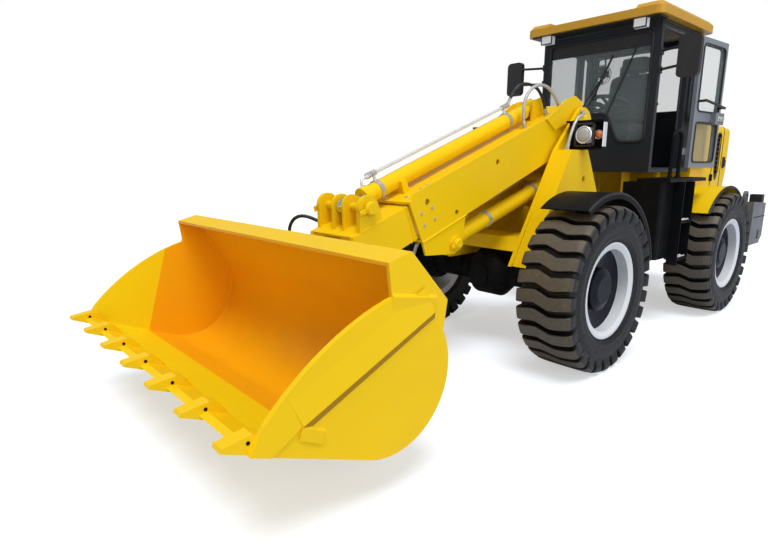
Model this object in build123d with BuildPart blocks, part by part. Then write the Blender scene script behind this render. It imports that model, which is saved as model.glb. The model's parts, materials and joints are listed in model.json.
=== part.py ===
from build123d import *

import os
from math import cos, radians, sin

os.makedirs("parts", exist_ok=True)

# Articulated wheel loader with a telescopic boom.
# Millimetres. +X forward, +Y to the driver's left, +Z up, ground at Z = 0.

# Wheels and stance
WHEELBASE = 2420
TRACK = 1610
TYRE_R = 585
TYRE_W = 400
TREAD_W = 352
GROOVE_R = 545
LUG_COUNT = 28
LUG_LENGTH = 80
LUG_STEP = 21
RIM_R = 338
BEAD_R = 305
RIM_W = 330
RIM_WALL = 16
FLANGE_W = 14
HUB_R = 150
SPINDLE_R = 60
AXLE_R = 95
AXLE_END = 185

# Fits
RUN = 0.3
CLEAR = 6

# Boom: s runs forward along it from its pivot, t square to it
BOOM_PIVOT_BACK = 680
BOOM_PIVOT_Z = 1760
BOOM_SLOPE = -20.2
BOOM_HALF_W = 250
BOOM_LOW, BOOM_HIGH = -150, 138
BOOM_REAR, BOOM_FRONT = -120, 1950
BOOM_WALL = 16
INNER_GAP = 13
INNER_WALL = 14
INNER_REAR = 350
HEAD_ROOT = 1990
HEAD_FRONT = 2430
INNER_HALF_W = BOOM_HALF_W - BOOM_WALL - INNER_GAP
HEAD_IN = 190
PIVOT_PIN_R = 40
BUCKET_PIN_R = 35
BUCKET_PIN_S, BUCKET_PIN_T = 2568, -376

# Bucket: u runs back along its floor from the tooth tips, v square to the floor
BUCKET_HALF_W = 1100
BUCKET_TILT = 22.5
BUCKET_PIN_U, BUCKET_PIN_V = 1175, 508
BUCKET_PLATE = 14
SIDE_PLATE = 18
CUTTER_PLATE = 8
EDGE_U = 100
HEEL_U = 680
HEEL_R = 340
TOOTH_COUNT = 7

# Rear of the machine
REAR_REACH = 1280
FRAME_IN = 380
FRAME_T = 30
DECK_TOP = 1075
DECK_T = 25
DECK_HALF_W = 575

# Cab, in distances ahead of the rear axle
CAB_FRONT = 1000
CAB_REAR = 80
CAB_HALF_W = 560
CAB_LOW, CAB_HIGH = 1370, 2640
CAB_WALL = 45
DOOR_FRONT, DOOR_REAR = 950, 360
DOOR_LOW, DOOR_HIGH = CAB_LOW + 30, CAB_HIGH - 50
DOOR_T = 35
DOOR_OPEN = 176
GLASS_T = 6

# Places worked out from the sizes above
TILT_C, TILT_S = cos(radians(BUCKET_TILT)), sin(radians(BUCKET_TILT))
SLOPE_C, SLOPE_S = cos(radians(BOOM_SLOPE)), sin(radians(BOOM_SLOPE))
PIN_AHEAD = BUCKET_PIN_S * SLOPE_C - BUCKET_PIN_T * SLOPE_S - BOOM_PIVOT_BACK
PIN_Z = BOOM_PIVOT_Z + BUCKET_PIN_S * SLOPE_S + BUCKET_PIN_T * SLOPE_C
FRONT_REACH = PIN_AHEAD + BUCKET_PIN_U * TILT_C + BUCKET_PIN_V * TILT_S
TIP_Z = PIN_Z + BUCKET_PIN_U * TILT_S - BUCKET_PIN_V * TILT_C
FRONT_X = (WHEELBASE + REAR_REACH - FRONT_REACH) / 2
REAR_X = FRONT_X - WHEELBASE
PIVOT_X = (FRONT_X + REAR_X) / 2
AXLE_Z = TYRE_R
FRONT = (FRONT_X, 0)
REAR = (REAR_X, 0)
BOOM = (FRONT_X - BOOM_PIVOT_BACK, BOOM_PIVOT_Z)
TIP = (FRONT_X + FRONT_REACH, TIP_Z)
SPINDLE_END = TRACK / 2


def side(y, origin, slope=0):
    """Plane of the machine's side at y: local x forward along the slope, local y up from it."""
    a = radians(slope)
    return Plane((origin[0], y, origin[1]), x_dir=(cos(a), 0, sin(a)), z_dir=(0, -1, 0))


def bucket_side(y):
    """Plane of the bucket's side at y: local x is u, local y is v."""
    return Plane((TIP[0], y, TIP[1]), x_dir=(-TILT_C, 0, -TILT_S), z_dir=(0, 1, 0))


def plate(points, y_high, thickness, origin, slope=0, mode=Mode.ADD):
    """Plate of an outline in side coordinates, from y_high inwards by its thickness."""
    with BuildSketch(side(y_high, origin, slope)) as face:
        with BuildLine():
            Polyline(*points, close=True)
        make_face()
    extrude(face.sketch, amount=thickness, mode=mode)


def bar(centre, radius, y_high, length, origin, slope=0, mode=Mode.ADD):
    """Round bar or hole across the machine, from y_high towards the right by its length."""
    with BuildSketch(side(y_high, origin, slope)) as face:
        with Locations(centre):
            Circle(radius)
    extrude(face.sketch, amount=length, mode=mode)


def rod(start, end, radius, mode=Mode.ADD):
    """Round rod or hole from one point to another."""
    axis = Vector(*end) - Vector(*start)
    with BuildSketch(Plane(start, z_dir=axis)) as face:
        Circle(radius)
    extrude(face.sketch, amount=axis.length, mode=mode)


def block(x, y, z, mode=Mode.ADD):
    """Box between two corners, each side given as (low, high)."""
    with Locations(((x[0] + x[1]) / 2, (y[0] + y[1]) / 2, (z[0] + z[1]) / 2)):
        Box(x[1] - x[0], y[1] - y[0], z[1] - z[0], mode=mode)


def on_boom(s, t, y=0):
    """Point of the boom's s and t in the machine's frame."""
    return (BOOM[0] + s * SLOPE_C - t * SLOPE_S, y, BOOM[1] + s * SLOPE_S + t * SLOPE_C)


def on_bucket(u, v, y=0):
    """Point of the bucket's u and v in the machine's frame."""
    return (TIP[0] - u * TILT_C - v * TILT_S, y, TIP[1] - u * TILT_S + v * TILT_C)


def from_front(x, y, z):
    return (FRONT_X + x, y, z)


def from_rear(x, y, z):
    return (REAR_X + x, y, z)


def write(builder, label):
    builder.part.label = label
    export_step(builder.part, f"parts/{label}.step")


# Wheels: a lugged tyre on a dished rim, made once about the Y axis with the outer side at +Y
BULGE_R = 440
LUG_ROOT = 14
CARCASS = [  # half width, radius
    (RIM_W / 2, BEAD_R),
    (RIM_W / 2, RIM_R + RUN),
    (TYRE_W / 2, BULGE_R),
    (TREAD_W / 2, GROOVE_R),
]
LUG_WAVE = [  # share of the tread's width, share of the step round the wheel
    (-0.5, 0),
    (-0.17, -1),
    (0.17, 1),
    (0.5, 0),
]
HALF_SECTOR = 180 / LUG_COUNT
with BuildPart() as lugs:
    with BuildSketch(Plane.XY.offset(TYRE_R)):
        with BuildLine():
            front_edge = [(LUG_LENGTH / 2 + c * LUG_STEP, w * TREAD_W) for w, c in LUG_WAVE]
            rear_edge = [(-LUG_LENGTH / 2 + c * LUG_STEP, w * TREAD_W) for w, c in LUG_WAVE]
            Polyline(*front_edge, *reversed(rear_edge), close=True)
        make_face()
    extrude(amount=GROOVE_R - LUG_ROOT - TYRE_R)
    one_lug = lugs.part
    for step in range(1, LUG_COUNT):
        add(one_lug.rotate(Axis.Y, step * 360 / LUG_COUNT))

with BuildPart() as carcass_sector:
    with BuildSketch(Plane.YZ):
        with BuildLine():
            Polyline(*CARCASS, *[(-w, r) for w, r in reversed(CARCASS)], close=True)
        make_face()
    extrude(amount=LUG_LENGTH, both=True)
    turn = radians(HALF_SECTOR)
    for hand in (-1, 1):
        mitre = Plane((0, 0, 0), x_dir=(0, 1, 0), z_dir=(hand * cos(turn), 0, -sin(turn)))
        split(bisect_by=mitre, keep=Keep.BOTTOM)

with BuildPart() as tyre:
    for step in range(LUG_COUNT):
        add(carcass_sector.part.rotate(Axis.Y, step * 2 * HALF_SECTOR))
    add(lugs.part)

DISH_OUT, DISH_IN = 95, 55
DISC_T = 20
CAP_R = 95
HUB_OUT = 110
CAP_OUT = 135
with BuildPart() as rim:
    with BuildSketch(Plane.YZ):
        with BuildLine():
            Polyline(
                (RIM_W / 2 + RUN, BEAD_R - RUN),
                (RIM_W / 2 + RUN, RIM_R),
                (RIM_W / 2 + FLANGE_W - RUN, RIM_R),
                (RIM_W / 2 + FLANGE_W - RUN, RIM_R - RIM_WALL),
                (RIM_W / 2, BEAD_R - RIM_WALL),
                (-RIM_W / 2, BEAD_R - RIM_WALL),
                (-RIM_W / 2 - FLANGE_W + RUN, RIM_R - RIM_WALL),
                (-RIM_W / 2 - FLANGE_W + RUN, RIM_R),
                (-RIM_W / 2 - RUN, RIM_R),
                (-RIM_W / 2 - RUN, BEAD_R - RUN),
                close=True,
            )
        make_face()
        with BuildLine():
            Polyline(
                (DISH_OUT, BEAD_R - RIM_WALL / 2),
                (DISH_IN, HUB_R - DISC_T),
                (DISH_IN - DISC_T, HUB_R - DISC_T),
                (DISH_OUT - DISC_T, BEAD_R - RIM_WALL / 2),
                close=True,
            )
        make_face()
        with BuildLine():
            Polyline(
                (-AXLE_END + CLEAR, SPINDLE_R + RUN),
                (-AXLE_END + CLEAR, HUB_R),
                (HUB_OUT, HUB_R),
                (CAP_OUT, CAP_R),
                (CAP_OUT, 0),
                (CLEAR, 0),
                (CLEAR, SPINDLE_R + RUN),
                close=True,
            )
        make_face()
    revolve(axis=Axis.Y)

WHEELS = [  # name, x, side
    ("front_left", FRONT_X, 1),
    ("front_right", FRONT_X, -1),
    ("rear_left", REAR_X, 1),
    ("rear_right", REAR_X, -1),
]
for wheel, x, hand in WHEELS:
    place = Location((x, hand * TRACK / 2, AXLE_Z), (0, 0, 0 if hand > 0 else 180))
    for piece, shape in (("tyre", tyre), ("rim", rim)):
        with BuildPart() as node:
            add(shape.part.moved(place))
        write(node, f"{piece}_{wheel}")

# Axles: tube, differential bulb, drive snout and the spindles that the wheels turn on
BULB_R = 190
BULB_HALF, BULB_FLAT = 200, 100
SNOUT_R = 70
SNOUT_LENGTH = 420
FLANGE_R = 140
PAD_HALF = 110
PAD_TOP = AXLE_Z + AXLE_R + 10
for axle_name, axle_x, drive_way in (("front_axle", FRONT_X, -1), ("rear_axle", REAR_X, 1)):
    with BuildPart() as axle:
        half = TRACK / 2 - AXLE_END
        rod((axle_x, -half, AXLE_Z), (axle_x, half, AXLE_Z), AXLE_R)
        rod((axle_x, -SPINDLE_END, AXLE_Z), (axle_x, SPINDLE_END, AXLE_Z), SPINDLE_R)
        for hand in (-1, 1):
            rod((axle_x, hand * (half - 40), AXLE_Z), (axle_x, hand * half, AXLE_Z), FLANGE_R)
            y_pad = sorted((hand * FRAME_IN, hand * (FRAME_IN - PAD_HALF)))
            block((axle_x - PAD_HALF, axle_x + PAD_HALF), y_pad, (AXLE_Z, PAD_TOP))
        with BuildSketch(Plane((axle_x, 0, AXLE_Z), x_dir=(0, 1, 0), z_dir=(1, 0, 0))) as bulb:
            with BuildLine():
                Polyline(
                    (-BULB_HALF, 0),
                    (-BULB_HALF, AXLE_R),
                    (-BULB_FLAT, BULB_R),
                    (BULB_FLAT, BULB_R),
                    (BULB_HALF, AXLE_R),
                    (BULB_HALF, 0),
                    close=True,
                )
            make_face()
        revolve(bulb.sketch, axis=Axis((axle_x, 0, AXLE_Z), (0, 1, 0)))
        rod((axle_x, 0, AXLE_Z), (axle_x + drive_way * SNOUT_LENGTH, 0, AXLE_Z), SNOUT_R)
    write(axle, axle_name)

# Front frame: boom tower on two box legs, with tongues to the steering pivot
TOWER_IN = 285
TOWER_T = 30
LEG_OUT = 450
LEG_TOP = 1548
CROSS_LOW, CROSS_HIGH = 790, 890
TOWER_TOP_R = 130
LIFT_PIN_BACK, LIFT_PIN_Z = 540, 1330
LIFT_PIN_R = 30
TONGUE_ROOT = -900
TONGUE_T = 50
TONGUE_LOW, TONGUE_HIGH = 480, 960
HINGE_R = 110
HINGE_PIN_R = 40
TOWER_PLATE = [  # x from the front axle, z
    (220, PAD_TOP),
    (-300, LEG_TOP),
    (BOOM[0] - FRONT_X + 105, BOOM[1] + 75),
    (BOOM[0] - FRONT_X - TOWER_TOP_R, BOOM[1]),
    (-750, 1190),
    (TONGUE_ROOT, 1060),
    (TONGUE_ROOT, TONGUE_LOW),
    (-420, TONGUE_LOW),
    (-250, PAD_TOP),
]
LEG_BOX = [  # x from the front axle, z
    (200, PAD_TOP),
    (-300, LEG_TOP),
    (-540, LEG_TOP),
    (-750, 1190),
    (-870, 1040),
    (-870, 700),
    (-300, PAD_TOP),
]
LEG_HOLE = (-500, 1325)  # x from the front axle, z
LEG_HOLE_R, LEG_HOLE_DEPTH = 22, 60
EAR_PLATES = [(620, 640), (760, 780)]  # low z, high z of the steering cylinder's ears
STEER_AHEAD, STEER_OUT, STEER_Z = 150, 270, 700
EAR_R = 60
with BuildPart() as front_frame:
    plate(TOWER_PLATE, TOWER_IN + TOWER_T, TOWER_T, FRONT)
    bar((BOOM[0] - FRONT_X, BOOM[1]), TOWER_TOP_R, TOWER_IN + TOWER_T, TOWER_T, FRONT)
    plate(LEG_BOX, LEG_OUT, LEG_OUT - TOWER_IN - TOWER_T, FRONT)
    bar(LEG_HOLE, LEG_HOLE_R, LEG_OUT, LEG_HOLE_DEPTH, FRONT, mode=Mode.SUBTRACT)
    mirror(about=Plane.XZ)
    full = 2 * TOWER_IN
    cross = [(-250, CROSS_LOW), (140, CROSS_LOW), (85, CROSS_HIGH), (-250, CROSS_HIGH)]
    plate(cross, TOWER_IN, full, FRONT)
    plate([(-790, 1060), (-765, 1060), (-765, 1480), (-790, 1480)], TOWER_IN, full, FRONT)
    rear_wall = [
        (TONGUE_ROOT, TONGUE_LOW),
        (TONGUE_ROOT + 30, TONGUE_LOW),
        (TONGUE_ROOT + 30, 1060),
        (TONGUE_ROOT, 1060),
    ]
    plate(rear_wall, TOWER_IN, full, FRONT)
    bar((-LIFT_PIN_BACK, LIFT_PIN_Z), LIFT_PIN_R, TOWER_IN + TOWER_T, 2 * (TOWER_IN + TOWER_T), FRONT)
    bar((BOOM[0] - FRONT_X, BOOM[1]), PIVOT_PIN_R, TOWER_IN + TOWER_T, 2 * (TOWER_IN + TOWER_T), FRONT)
    for low in (TONGUE_LOW, TONGUE_HIGH):
        with BuildSketch(Plane.XY.offset(low)) as tongue:
            with BuildLine():
                Polyline(
                    (FRONT_X + TONGUE_ROOT, TOWER_IN),
                    (PIVOT_X, HINGE_R),
                    (PIVOT_X, -HINGE_R),
                    (FRONT_X + TONGUE_ROOT, -TOWER_IN),
                    close=True,
                )
            make_face()
            with Locations((PIVOT_X, 0)):
                Circle(HINGE_R)
                Circle(HINGE_PIN_R + RUN, mode=Mode.SUBTRACT)
        extrude(tongue.sketch, amount=TONGUE_T)
    for low, high in EAR_PLATES:
        with BuildSketch(Plane.XY.offset(low)) as ears:
            for hand in (-1, 1):
                with BuildLine():
                    Polyline(
                        (FRONT_X + TONGUE_ROOT, hand * (STEER_OUT - 2 * EAR_R)),
                        (PIVOT_X + STEER_AHEAD, hand * (STEER_OUT - EAR_R)),
                        (PIVOT_X + STEER_AHEAD, hand * (STEER_OUT + EAR_R)),
                        (FRONT_X + TONGUE_ROOT, hand * (STEER_OUT + EAR_R)),
                        close=True,
                    )
                make_face()
                with Locations((PIVOT_X + STEER_AHEAD, hand * STEER_OUT)):
                    Circle(EAR_R)
        extrude(ears.sketch, amount=high - low)
write(front_frame, "front_frame")

# Front mudguards: a band round each front wheel on brackets from the legs
GUARD_IN, GUARD_OUT = 620, 970
GUARD_GAP = 75
GUARD_T = 8
GUARD_START, GUARD_SWEEP = 58, 110
LIP = 32
STAY = 40
STAY_ANGLES = [115, 150]
with BuildPart() as front_guards:
    GUARD_BANDS = [  # inner radius, width across the machine
        (TYRE_R + GUARD_GAP, GUARD_OUT - GUARD_IN),
        (TYRE_R + GUARD_GAP - LIP, GUARD_T),
    ]
    for radius, width in GUARD_BANDS:
        with BuildSketch(side(GUARD_OUT, (FRONT_X, AXLE_Z))) as band:
            with BuildLine():
                inner = CenterArc((0, 0), radius, GUARD_START, GUARD_SWEEP)
                outer = CenterArc((0, 0), TYRE_R + GUARD_GAP + GUARD_T, GUARD_START, GUARD_SWEEP)
                Line(inner @ 0, outer @ 0)
                Line(inner @ 1, outer @ 1)
            make_face()
        extrude(band.sketch, amount=width)
    stay_r = TYRE_R + GUARD_GAP + GUARD_T / 2
    for angle in STAY_ANGLES:
        x = stay_r * cos(radians(angle))
        z = AXLE_Z + stay_r * sin(radians(angle))
        x_stay = (FRONT_X + x - STAY, FRONT_X + x + STAY)
        block(x_stay, (LEG_OUT, GUARD_OUT - 40), (z + GUARD_T, z + 3 * GUARD_T))
    mirror(about=Plane.XZ)
write(front_guards, "front_guards")

# Headlamps on brackets beside the tower, each with a turn signal
LAMP_BACK = 420
LAMP_BOX_H = 220
LAMP_Z = LEG_TOP + LAMP_BOX_H / 2
LAMP_R = 62
LAMP_Y = 480
LAMP_BOX_OUT = 620
LAMP_BOX_DEPTH, LAMP_SHELF, LAMP_BACKING = 60, 15, 10
LAMP_STAND = 20
SIGNAL_OUT, SIGNAL_R = 100, 32
with BuildPart() as lamp_brackets:
    x = FRONT_X - LAMP_BACK
    x_back = x - LAMP_BOX_DEPTH
    y_box = (TOWER_IN + TOWER_T, LAMP_BOX_OUT)
    block((x_back, x), y_box, (LEG_TOP, LEG_TOP + LAMP_BOX_H))
    y_room = (TOWER_IN + TOWER_T - 1, LAMP_BOX_OUT + 1)
    z_room = (LEG_TOP + LAMP_SHELF, LEG_TOP + LAMP_BOX_H - LAMP_SHELF)
    block((x_back + LAMP_BACKING, x + 1), y_room, z_room, mode=Mode.SUBTRACT)
    mirror(about=Plane.XZ)
write(lamp_brackets, "lamp_brackets")
with BuildPart() as headlamps:
    rod((x_back + LAMP_BACKING, LAMP_Y, LAMP_Z), (x + LAMP_STAND, LAMP_Y, LAMP_Z), LAMP_R)
    mirror(about=Plane.XZ)
write(headlamps, "headlamps")
with BuildPart() as turn_signals:
    y = LAMP_Y + SIGNAL_OUT
    rod((x_back + LAMP_BACKING, y, LAMP_Z), (x - LAMP_STAND, y, LAMP_Z), SIGNAL_R)
    mirror(about=Plane.XZ)
write(turn_signals, "turn_signals")

# Outer boom: box tube on the tower's pin, with lobes for the lift cylinders at its front
BOSS_R = 95
BOSS_GAP = 5
LIFT_EYE_S, LIFT_EYE_T = 1660, -290
LIFT_Y = 168
LIFT_BOSS_R, LIFT_BOSS_T = 50, 18
FRONT_RAKE = 25
REAR_CUT = 60
EDGE_RAIL = 35
WING_T = 14
EXT_T = 220
EXT_REAR = 200
EXT_R = 58
EXT_PIN_R = 25
EXT_EAR = 18
EXT_EYE_W = 70
SADDLE_S = 1800
SADDLE_L, SADDLE_HALF_W = 50, 80
SIDE_HOLES = [  # s, t, radius
    (1070, 68, 20),
    (1585, -95, 17),
    (1827, 80, 20),
]
WING = [  # s, t
    (-110, 40),
    (-110, 150),
    (-20, 225),
    (110, 235),
    (420, BOOM_HIGH + EDGE_RAIL),
    (330, 60),
]
TOP_EDGE = [  # s, t
    (420, BOOM_HIGH),
    (420, BOOM_HIGH + EDGE_RAIL),
    (BOOM_FRONT - EDGE_RAIL, BOOM_HIGH + EDGE_RAIL),
    (BOOM_FRONT, BOOM_HIGH),
]
LOBE = [  # s, t
    (1500, BOOM_LOW + BOOM_WALL),
    (1530, -190),
    (1607, -330),
    (1692, -358),
    (BOOM_FRONT, -243),
    (BOOM_FRONT, BOOM_LOW + BOOM_WALL),
]
with BuildPart() as boom_outer:
    with BuildSketch(side(BOOM_HALF_W, BOOM, BOOM_SLOPE)):
        with BuildLine():
            Polyline(
                (BOOM_REAR, BOOM_LOW + REAR_CUT),
                (BOOM_REAR, BOOM_HIGH),
                (BOOM_FRONT + FRONT_RAKE, BOOM_HIGH),
                (BOOM_FRONT, BOOM_LOW),
                (BOOM_REAR + REAR_CUT, BOOM_LOW),
                close=True,
            )
        make_face()
    extrude(amount=2 * BOOM_HALF_W)
    bore = [
        (BOOM_REAR, BOOM_LOW + BOOM_WALL),
        (BOOM_REAR, BOOM_HIGH - BOOM_WALL),
        (BOOM_FRONT + FRONT_RAKE, BOOM_HIGH - BOOM_WALL),
        (BOOM_FRONT + FRONT_RAKE, BOOM_LOW + BOOM_WALL),
    ]
    inside = BOOM_HALF_W - BOOM_WALL
    plate(bore, inside, 2 * inside, BOOM, BOOM_SLOPE, mode=Mode.SUBTRACT)
    for y_high in (BOOM_HALF_W, -inside):
        plate(LOBE, y_high, BOOM_WALL, BOOM, BOOM_SLOPE)
        plate(TOP_EDGE, y_high, BOOM_WALL, BOOM, BOOM_SLOPE)
        for s, t, radius in SIDE_HOLES:
            bar((s, t), radius, y_high, BOOM_WALL, BOOM, BOOM_SLOPE, mode=Mode.SUBTRACT)
    for y_high in (BOOM_HALF_W + WING_T, -BOOM_HALF_W):
        plate(WING, y_high, WING_T, BOOM, BOOM_SLOPE)
    boss_out = TOWER_IN - BOSS_GAP
    for y_high in (boss_out, -BOOM_HALF_W + BOOM_WALL):
        bar((0, 0), BOSS_R, y_high, boss_out - BOOM_HALF_W + BOOM_WALL, BOOM, BOOM_SLOPE)
    bar((0, 0), PIVOT_PIN_R + RUN, boss_out, 2 * boss_out, BOOM, BOOM_SLOPE, mode=Mode.SUBTRACT)
    for y_high in (BOOM_HALF_W + LIFT_BOSS_T, -BOOM_HALF_W):
        bar((LIFT_EYE_S, LIFT_EYE_T), LIFT_BOSS_R, y_high, LIFT_BOSS_T, BOOM, BOOM_SLOPE)
    ear = [
        (EXT_REAR - 2 * EXT_R, BOOM_HIGH),
        (EXT_REAR - EXT_R, EXT_T + EXT_R),
        (EXT_REAR + EXT_R, EXT_T + EXT_R),
        (EXT_REAR + 2 * EXT_R, BOOM_HIGH),
    ]
    for y_high in (EXT_EYE_W / 2 + 1 + EXT_EAR, -EXT_EYE_W / 2 - 1):
        plate(ear, y_high, EXT_EAR, BOOM, BOOM_SLOPE)
    pin_half = EXT_EYE_W / 2 + 1 + EXT_EAR
    bar((EXT_REAR, EXT_T), EXT_PIN_R, pin_half, 2 * pin_half, BOOM, BOOM_SLOPE)
    saddle = [
        (SADDLE_S, BOOM_HIGH),
        (SADDLE_S, EXT_T),
        (SADDLE_S + SADDLE_L, EXT_T),
        (SADDLE_S + SADDLE_L, BOOM_HIGH),
    ]
    plate(saddle, SADDLE_HALF_W, 2 * SADDLE_HALF_W, BOOM, BOOM_SLOPE)
    saddle_end = on_boom(SADDLE_S + SADDLE_L + 1, EXT_T)
    rod(on_boom(SADDLE_S - 1, EXT_T), saddle_end, EXT_R + RUN, mode=Mode.SUBTRACT)
write(boom_outer, "boom_outer")

# Extension cylinder on top of the boom: barrel on the outer boom, rod on the inner head
EXT_NECK = EXT_REAR + 140
EXT_FRONT = 2130
EXT_GLAND = 60
EXT_COLLAR = 6
EXT_ROD_R = 28
EXT_ROD_TAIL = 1000
EXT_EYE_S = 2260
with BuildPart() as ext_barrel:
    rod(on_boom(EXT_REAR, EXT_T), on_boom(EXT_NECK, EXT_T), EXT_ROD_R)
    rod(on_boom(EXT_NECK, EXT_T), on_boom(EXT_FRONT, EXT_T), EXT_R)
    rod(on_boom(EXT_FRONT - EXT_GLAND, EXT_T), on_boom(EXT_FRONT, EXT_T), EXT_R + EXT_COLLAR)
    bar((EXT_REAR, EXT_T), EXT_R, EXT_EYE_W / 2, EXT_EYE_W, BOOM, BOOM_SLOPE)
    bar((EXT_REAR, EXT_T), EXT_PIN_R + RUN, EXT_EYE_W, 2 * EXT_EYE_W, BOOM, BOOM_SLOPE, mode=Mode.SUBTRACT)
    rod(
        on_boom(EXT_ROD_TAIL - 20, EXT_T),
        on_boom(EXT_FRONT, EXT_T),
        EXT_ROD_R + RUN,
        mode=Mode.SUBTRACT,
    )
write(ext_barrel, "extension_barrel")

with BuildPart() as ext_rod:
    rod(on_boom(EXT_ROD_TAIL, EXT_T), on_boom(EXT_EYE_S, EXT_T), EXT_ROD_R)
    bar((EXT_EYE_S, EXT_T), EXT_R - 4, EXT_EYE_W / 2, EXT_EYE_W, BOOM, BOOM_SLOPE)
    bar((EXT_EYE_S, EXT_T), EXT_PIN_R + RUN, EXT_EYE_W, 2 * EXT_EYE_W, BOOM, BOOM_SLOPE, mode=Mode.SUBTRACT)
write(ext_rod, "extension_rod")

# Steel oil pipe on two posts above the extension cylinder
PIPE_T = 330
PIPE_R = 11
PIPE_REAR, PIPE_FRONT = 520, 2050
with BuildPart() as oil_pipe:
    rod(on_boom(PIPE_REAR, PIPE_T), on_boom(PIPE_FRONT, PIPE_T), PIPE_R)
    for s in (PIPE_REAR + 60, PIPE_FRONT - 60):
        rod(on_boom(s, EXT_T + EXT_R), on_boom(s, PIPE_T), PIPE_R)
write(oil_pipe, "oil_pipe")

# Inner boom: box tube on wear pads, with a fabricated head that carries the bucket
INNER_LOW = BOOM_LOW + BOOM_WALL + INNER_GAP
INNER_HIGH = BOOM_HIGH - BOOM_WALL - INNER_GAP
PAD_LENGTH = 80
LOBE_R = 80
HEAD_PLATE = INNER_HALF_W - HEAD_IN
HEAD_SIDE = [  # s, t
    (HEAD_ROOT, INNER_LOW),
    (HEAD_ROOT, INNER_HIGH),
    (HEAD_FRONT, INNER_HIGH),
    (BUCKET_PIN_S + 70, BUCKET_PIN_T + 40),
    (BUCKET_PIN_S, BUCKET_PIN_T - LOBE_R),
    (BUCKET_PIN_S - LOBE_R, BUCKET_PIN_T - 10),
    (2250, INNER_LOW),
]
WINDOW_HALF = 85
FRONT_PLATE = 25
HEAD_EARS = [(53, 17), (200, 30)]  # middle y, thickness of the ears each side
HEAD_EAR_R = 75
TILT_REAR_S, TILT_REAR_T = 1870, 10
with BuildPart() as boom_inner:
    tube = [
        (INNER_REAR, INNER_LOW),
        (INNER_REAR, INNER_HIGH),
        (HEAD_ROOT, INNER_HIGH),
        (HEAD_ROOT, INNER_LOW),
    ]
    plate(tube, INNER_HALF_W, 2 * INNER_HALF_W, BOOM, BOOM_SLOPE)
    pad = [
        (INNER_REAR, INNER_LOW - INNER_GAP + RUN),
        (INNER_REAR, INNER_HIGH + INNER_GAP - RUN),
        (INNER_REAR + PAD_LENGTH, INNER_HIGH + INNER_GAP - RUN),
        (INNER_REAR + PAD_LENGTH, INNER_LOW - INNER_GAP + RUN),
    ]
    pad_half = INNER_HALF_W + INNER_GAP - RUN
    plate(pad, pad_half, 2 * pad_half, BOOM, BOOM_SLOPE)
    for y_high in (INNER_HALF_W, -HEAD_IN):
        plate(HEAD_SIDE, y_high, HEAD_PLATE, BOOM, BOOM_SLOPE)
        bar((BUCKET_PIN_S, BUCKET_PIN_T), LOBE_R, y_high, HEAD_PLATE, BOOM, BOOM_SLOPE)
    cavity = [
        (INNER_REAR, INNER_LOW + INNER_WALL),
        (INNER_REAR, INNER_HIGH - INNER_WALL),
        (HEAD_ROOT, INNER_HIGH - INNER_WALL),
        (HEAD_ROOT, INNER_LOW + INNER_WALL),
    ]
    inside = INNER_HALF_W - INNER_WALL
    plate(cavity, inside, 2 * inside, BOOM, BOOM_SLOPE, mode=Mode.SUBTRACT)
    top = [
        (HEAD_ROOT, INNER_HIGH - INNER_WALL),
        (HEAD_ROOT, INNER_HIGH),
        (HEAD_FRONT, INNER_HIGH),
        (HEAD_FRONT, INNER_HIGH - INNER_WALL),
    ]
    plate(top, HEAD_IN, 2 * HEAD_IN, BOOM, BOOM_SLOPE)
    face = [
        (HEAD_FRONT - FRONT_PLATE, INNER_LOW),
        (HEAD_FRONT - FRONT_PLATE, INNER_HIGH - INNER_WALL),
        (HEAD_FRONT, INNER_HIGH - INNER_WALL),
        (HEAD_FRONT, INNER_LOW),
    ]
    for y_high in (HEAD_IN, -WINDOW_HALF):
        plate(face, y_high, HEAD_IN - WINDOW_HALF, BOOM, BOOM_SLOPE)
    ear = [
        (EXT_EYE_S - HEAD_EAR_R, INNER_HIGH),
        (EXT_EYE_S - HEAD_EAR_R, EXT_T),
        (EXT_EYE_S + HEAD_EAR_R, EXT_T),
        (EXT_EYE_S + HEAD_EAR_R + 40, INNER_HIGH),
    ]
    for middle, thickness in HEAD_EARS:
        for hand in (-1, 1):
            y_high = hand * middle + thickness / 2
            plate(ear, y_high, thickness, BOOM, BOOM_SLOPE)
            bar((EXT_EYE_S, EXT_T), HEAD_EAR_R, y_high, thickness, BOOM, BOOM_SLOPE)
    pin_half = HEAD_EARS[1][0] + 30
    bar((EXT_EYE_S, EXT_T), EXT_PIN_R, pin_half, 2 * pin_half, BOOM, BOOM_SLOPE)
    pin_half = INNER_HALF_W + 50
    bar((BUCKET_PIN_S, BUCKET_PIN_T), BUCKET_PIN_R, pin_half, 2 * pin_half, BOOM, BOOM_SLOPE)
    bar((TILT_REAR_S, TILT_REAR_T), EXT_PIN_R, inside, 2 * inside, BOOM, BOOM_SLOPE)
write(boom_inner, "boom_inner")

# Hydraulic hoses that stand stiffly between their fittings on one body
HOSE_R = 12
BOOM_HOSES = [  # s, t, y
    [(PIPE_REAR, PIPE_T, 0), (430, 430, 15), (300, 445, 40), (160, 330, 90), (160, BOOM_HIGH, 90)],
    [(500, BOOM_HIGH, 110), (480, 330, 110), (330, 400, 120), (150, 360, 150), (60, BOOM_HIGH, 160)],
]
HOSE_BEND = 55
HEAD_HOSE = [  # s, t, y
    (2250, 40, -INNER_HALF_W),
    (2250, 60, -330),
    (2330, 130, -480),
    (2420, 60, -640),
    (2400, -80, -480),
    (2330, -60, -INNER_HALF_W),
]
TOWER_HOSE = [  # x from the front axle, y, z
    (-640, TOWER_IN + TOWER_T, 1850),
    (-640, TOWER_IN + TOWER_T + 60, 1850),
    (-360, TOWER_IN + TOWER_T + 60, 1800),
    (-350, TOWER_IN + TOWER_T + 60, LEG_TOP),
]


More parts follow.
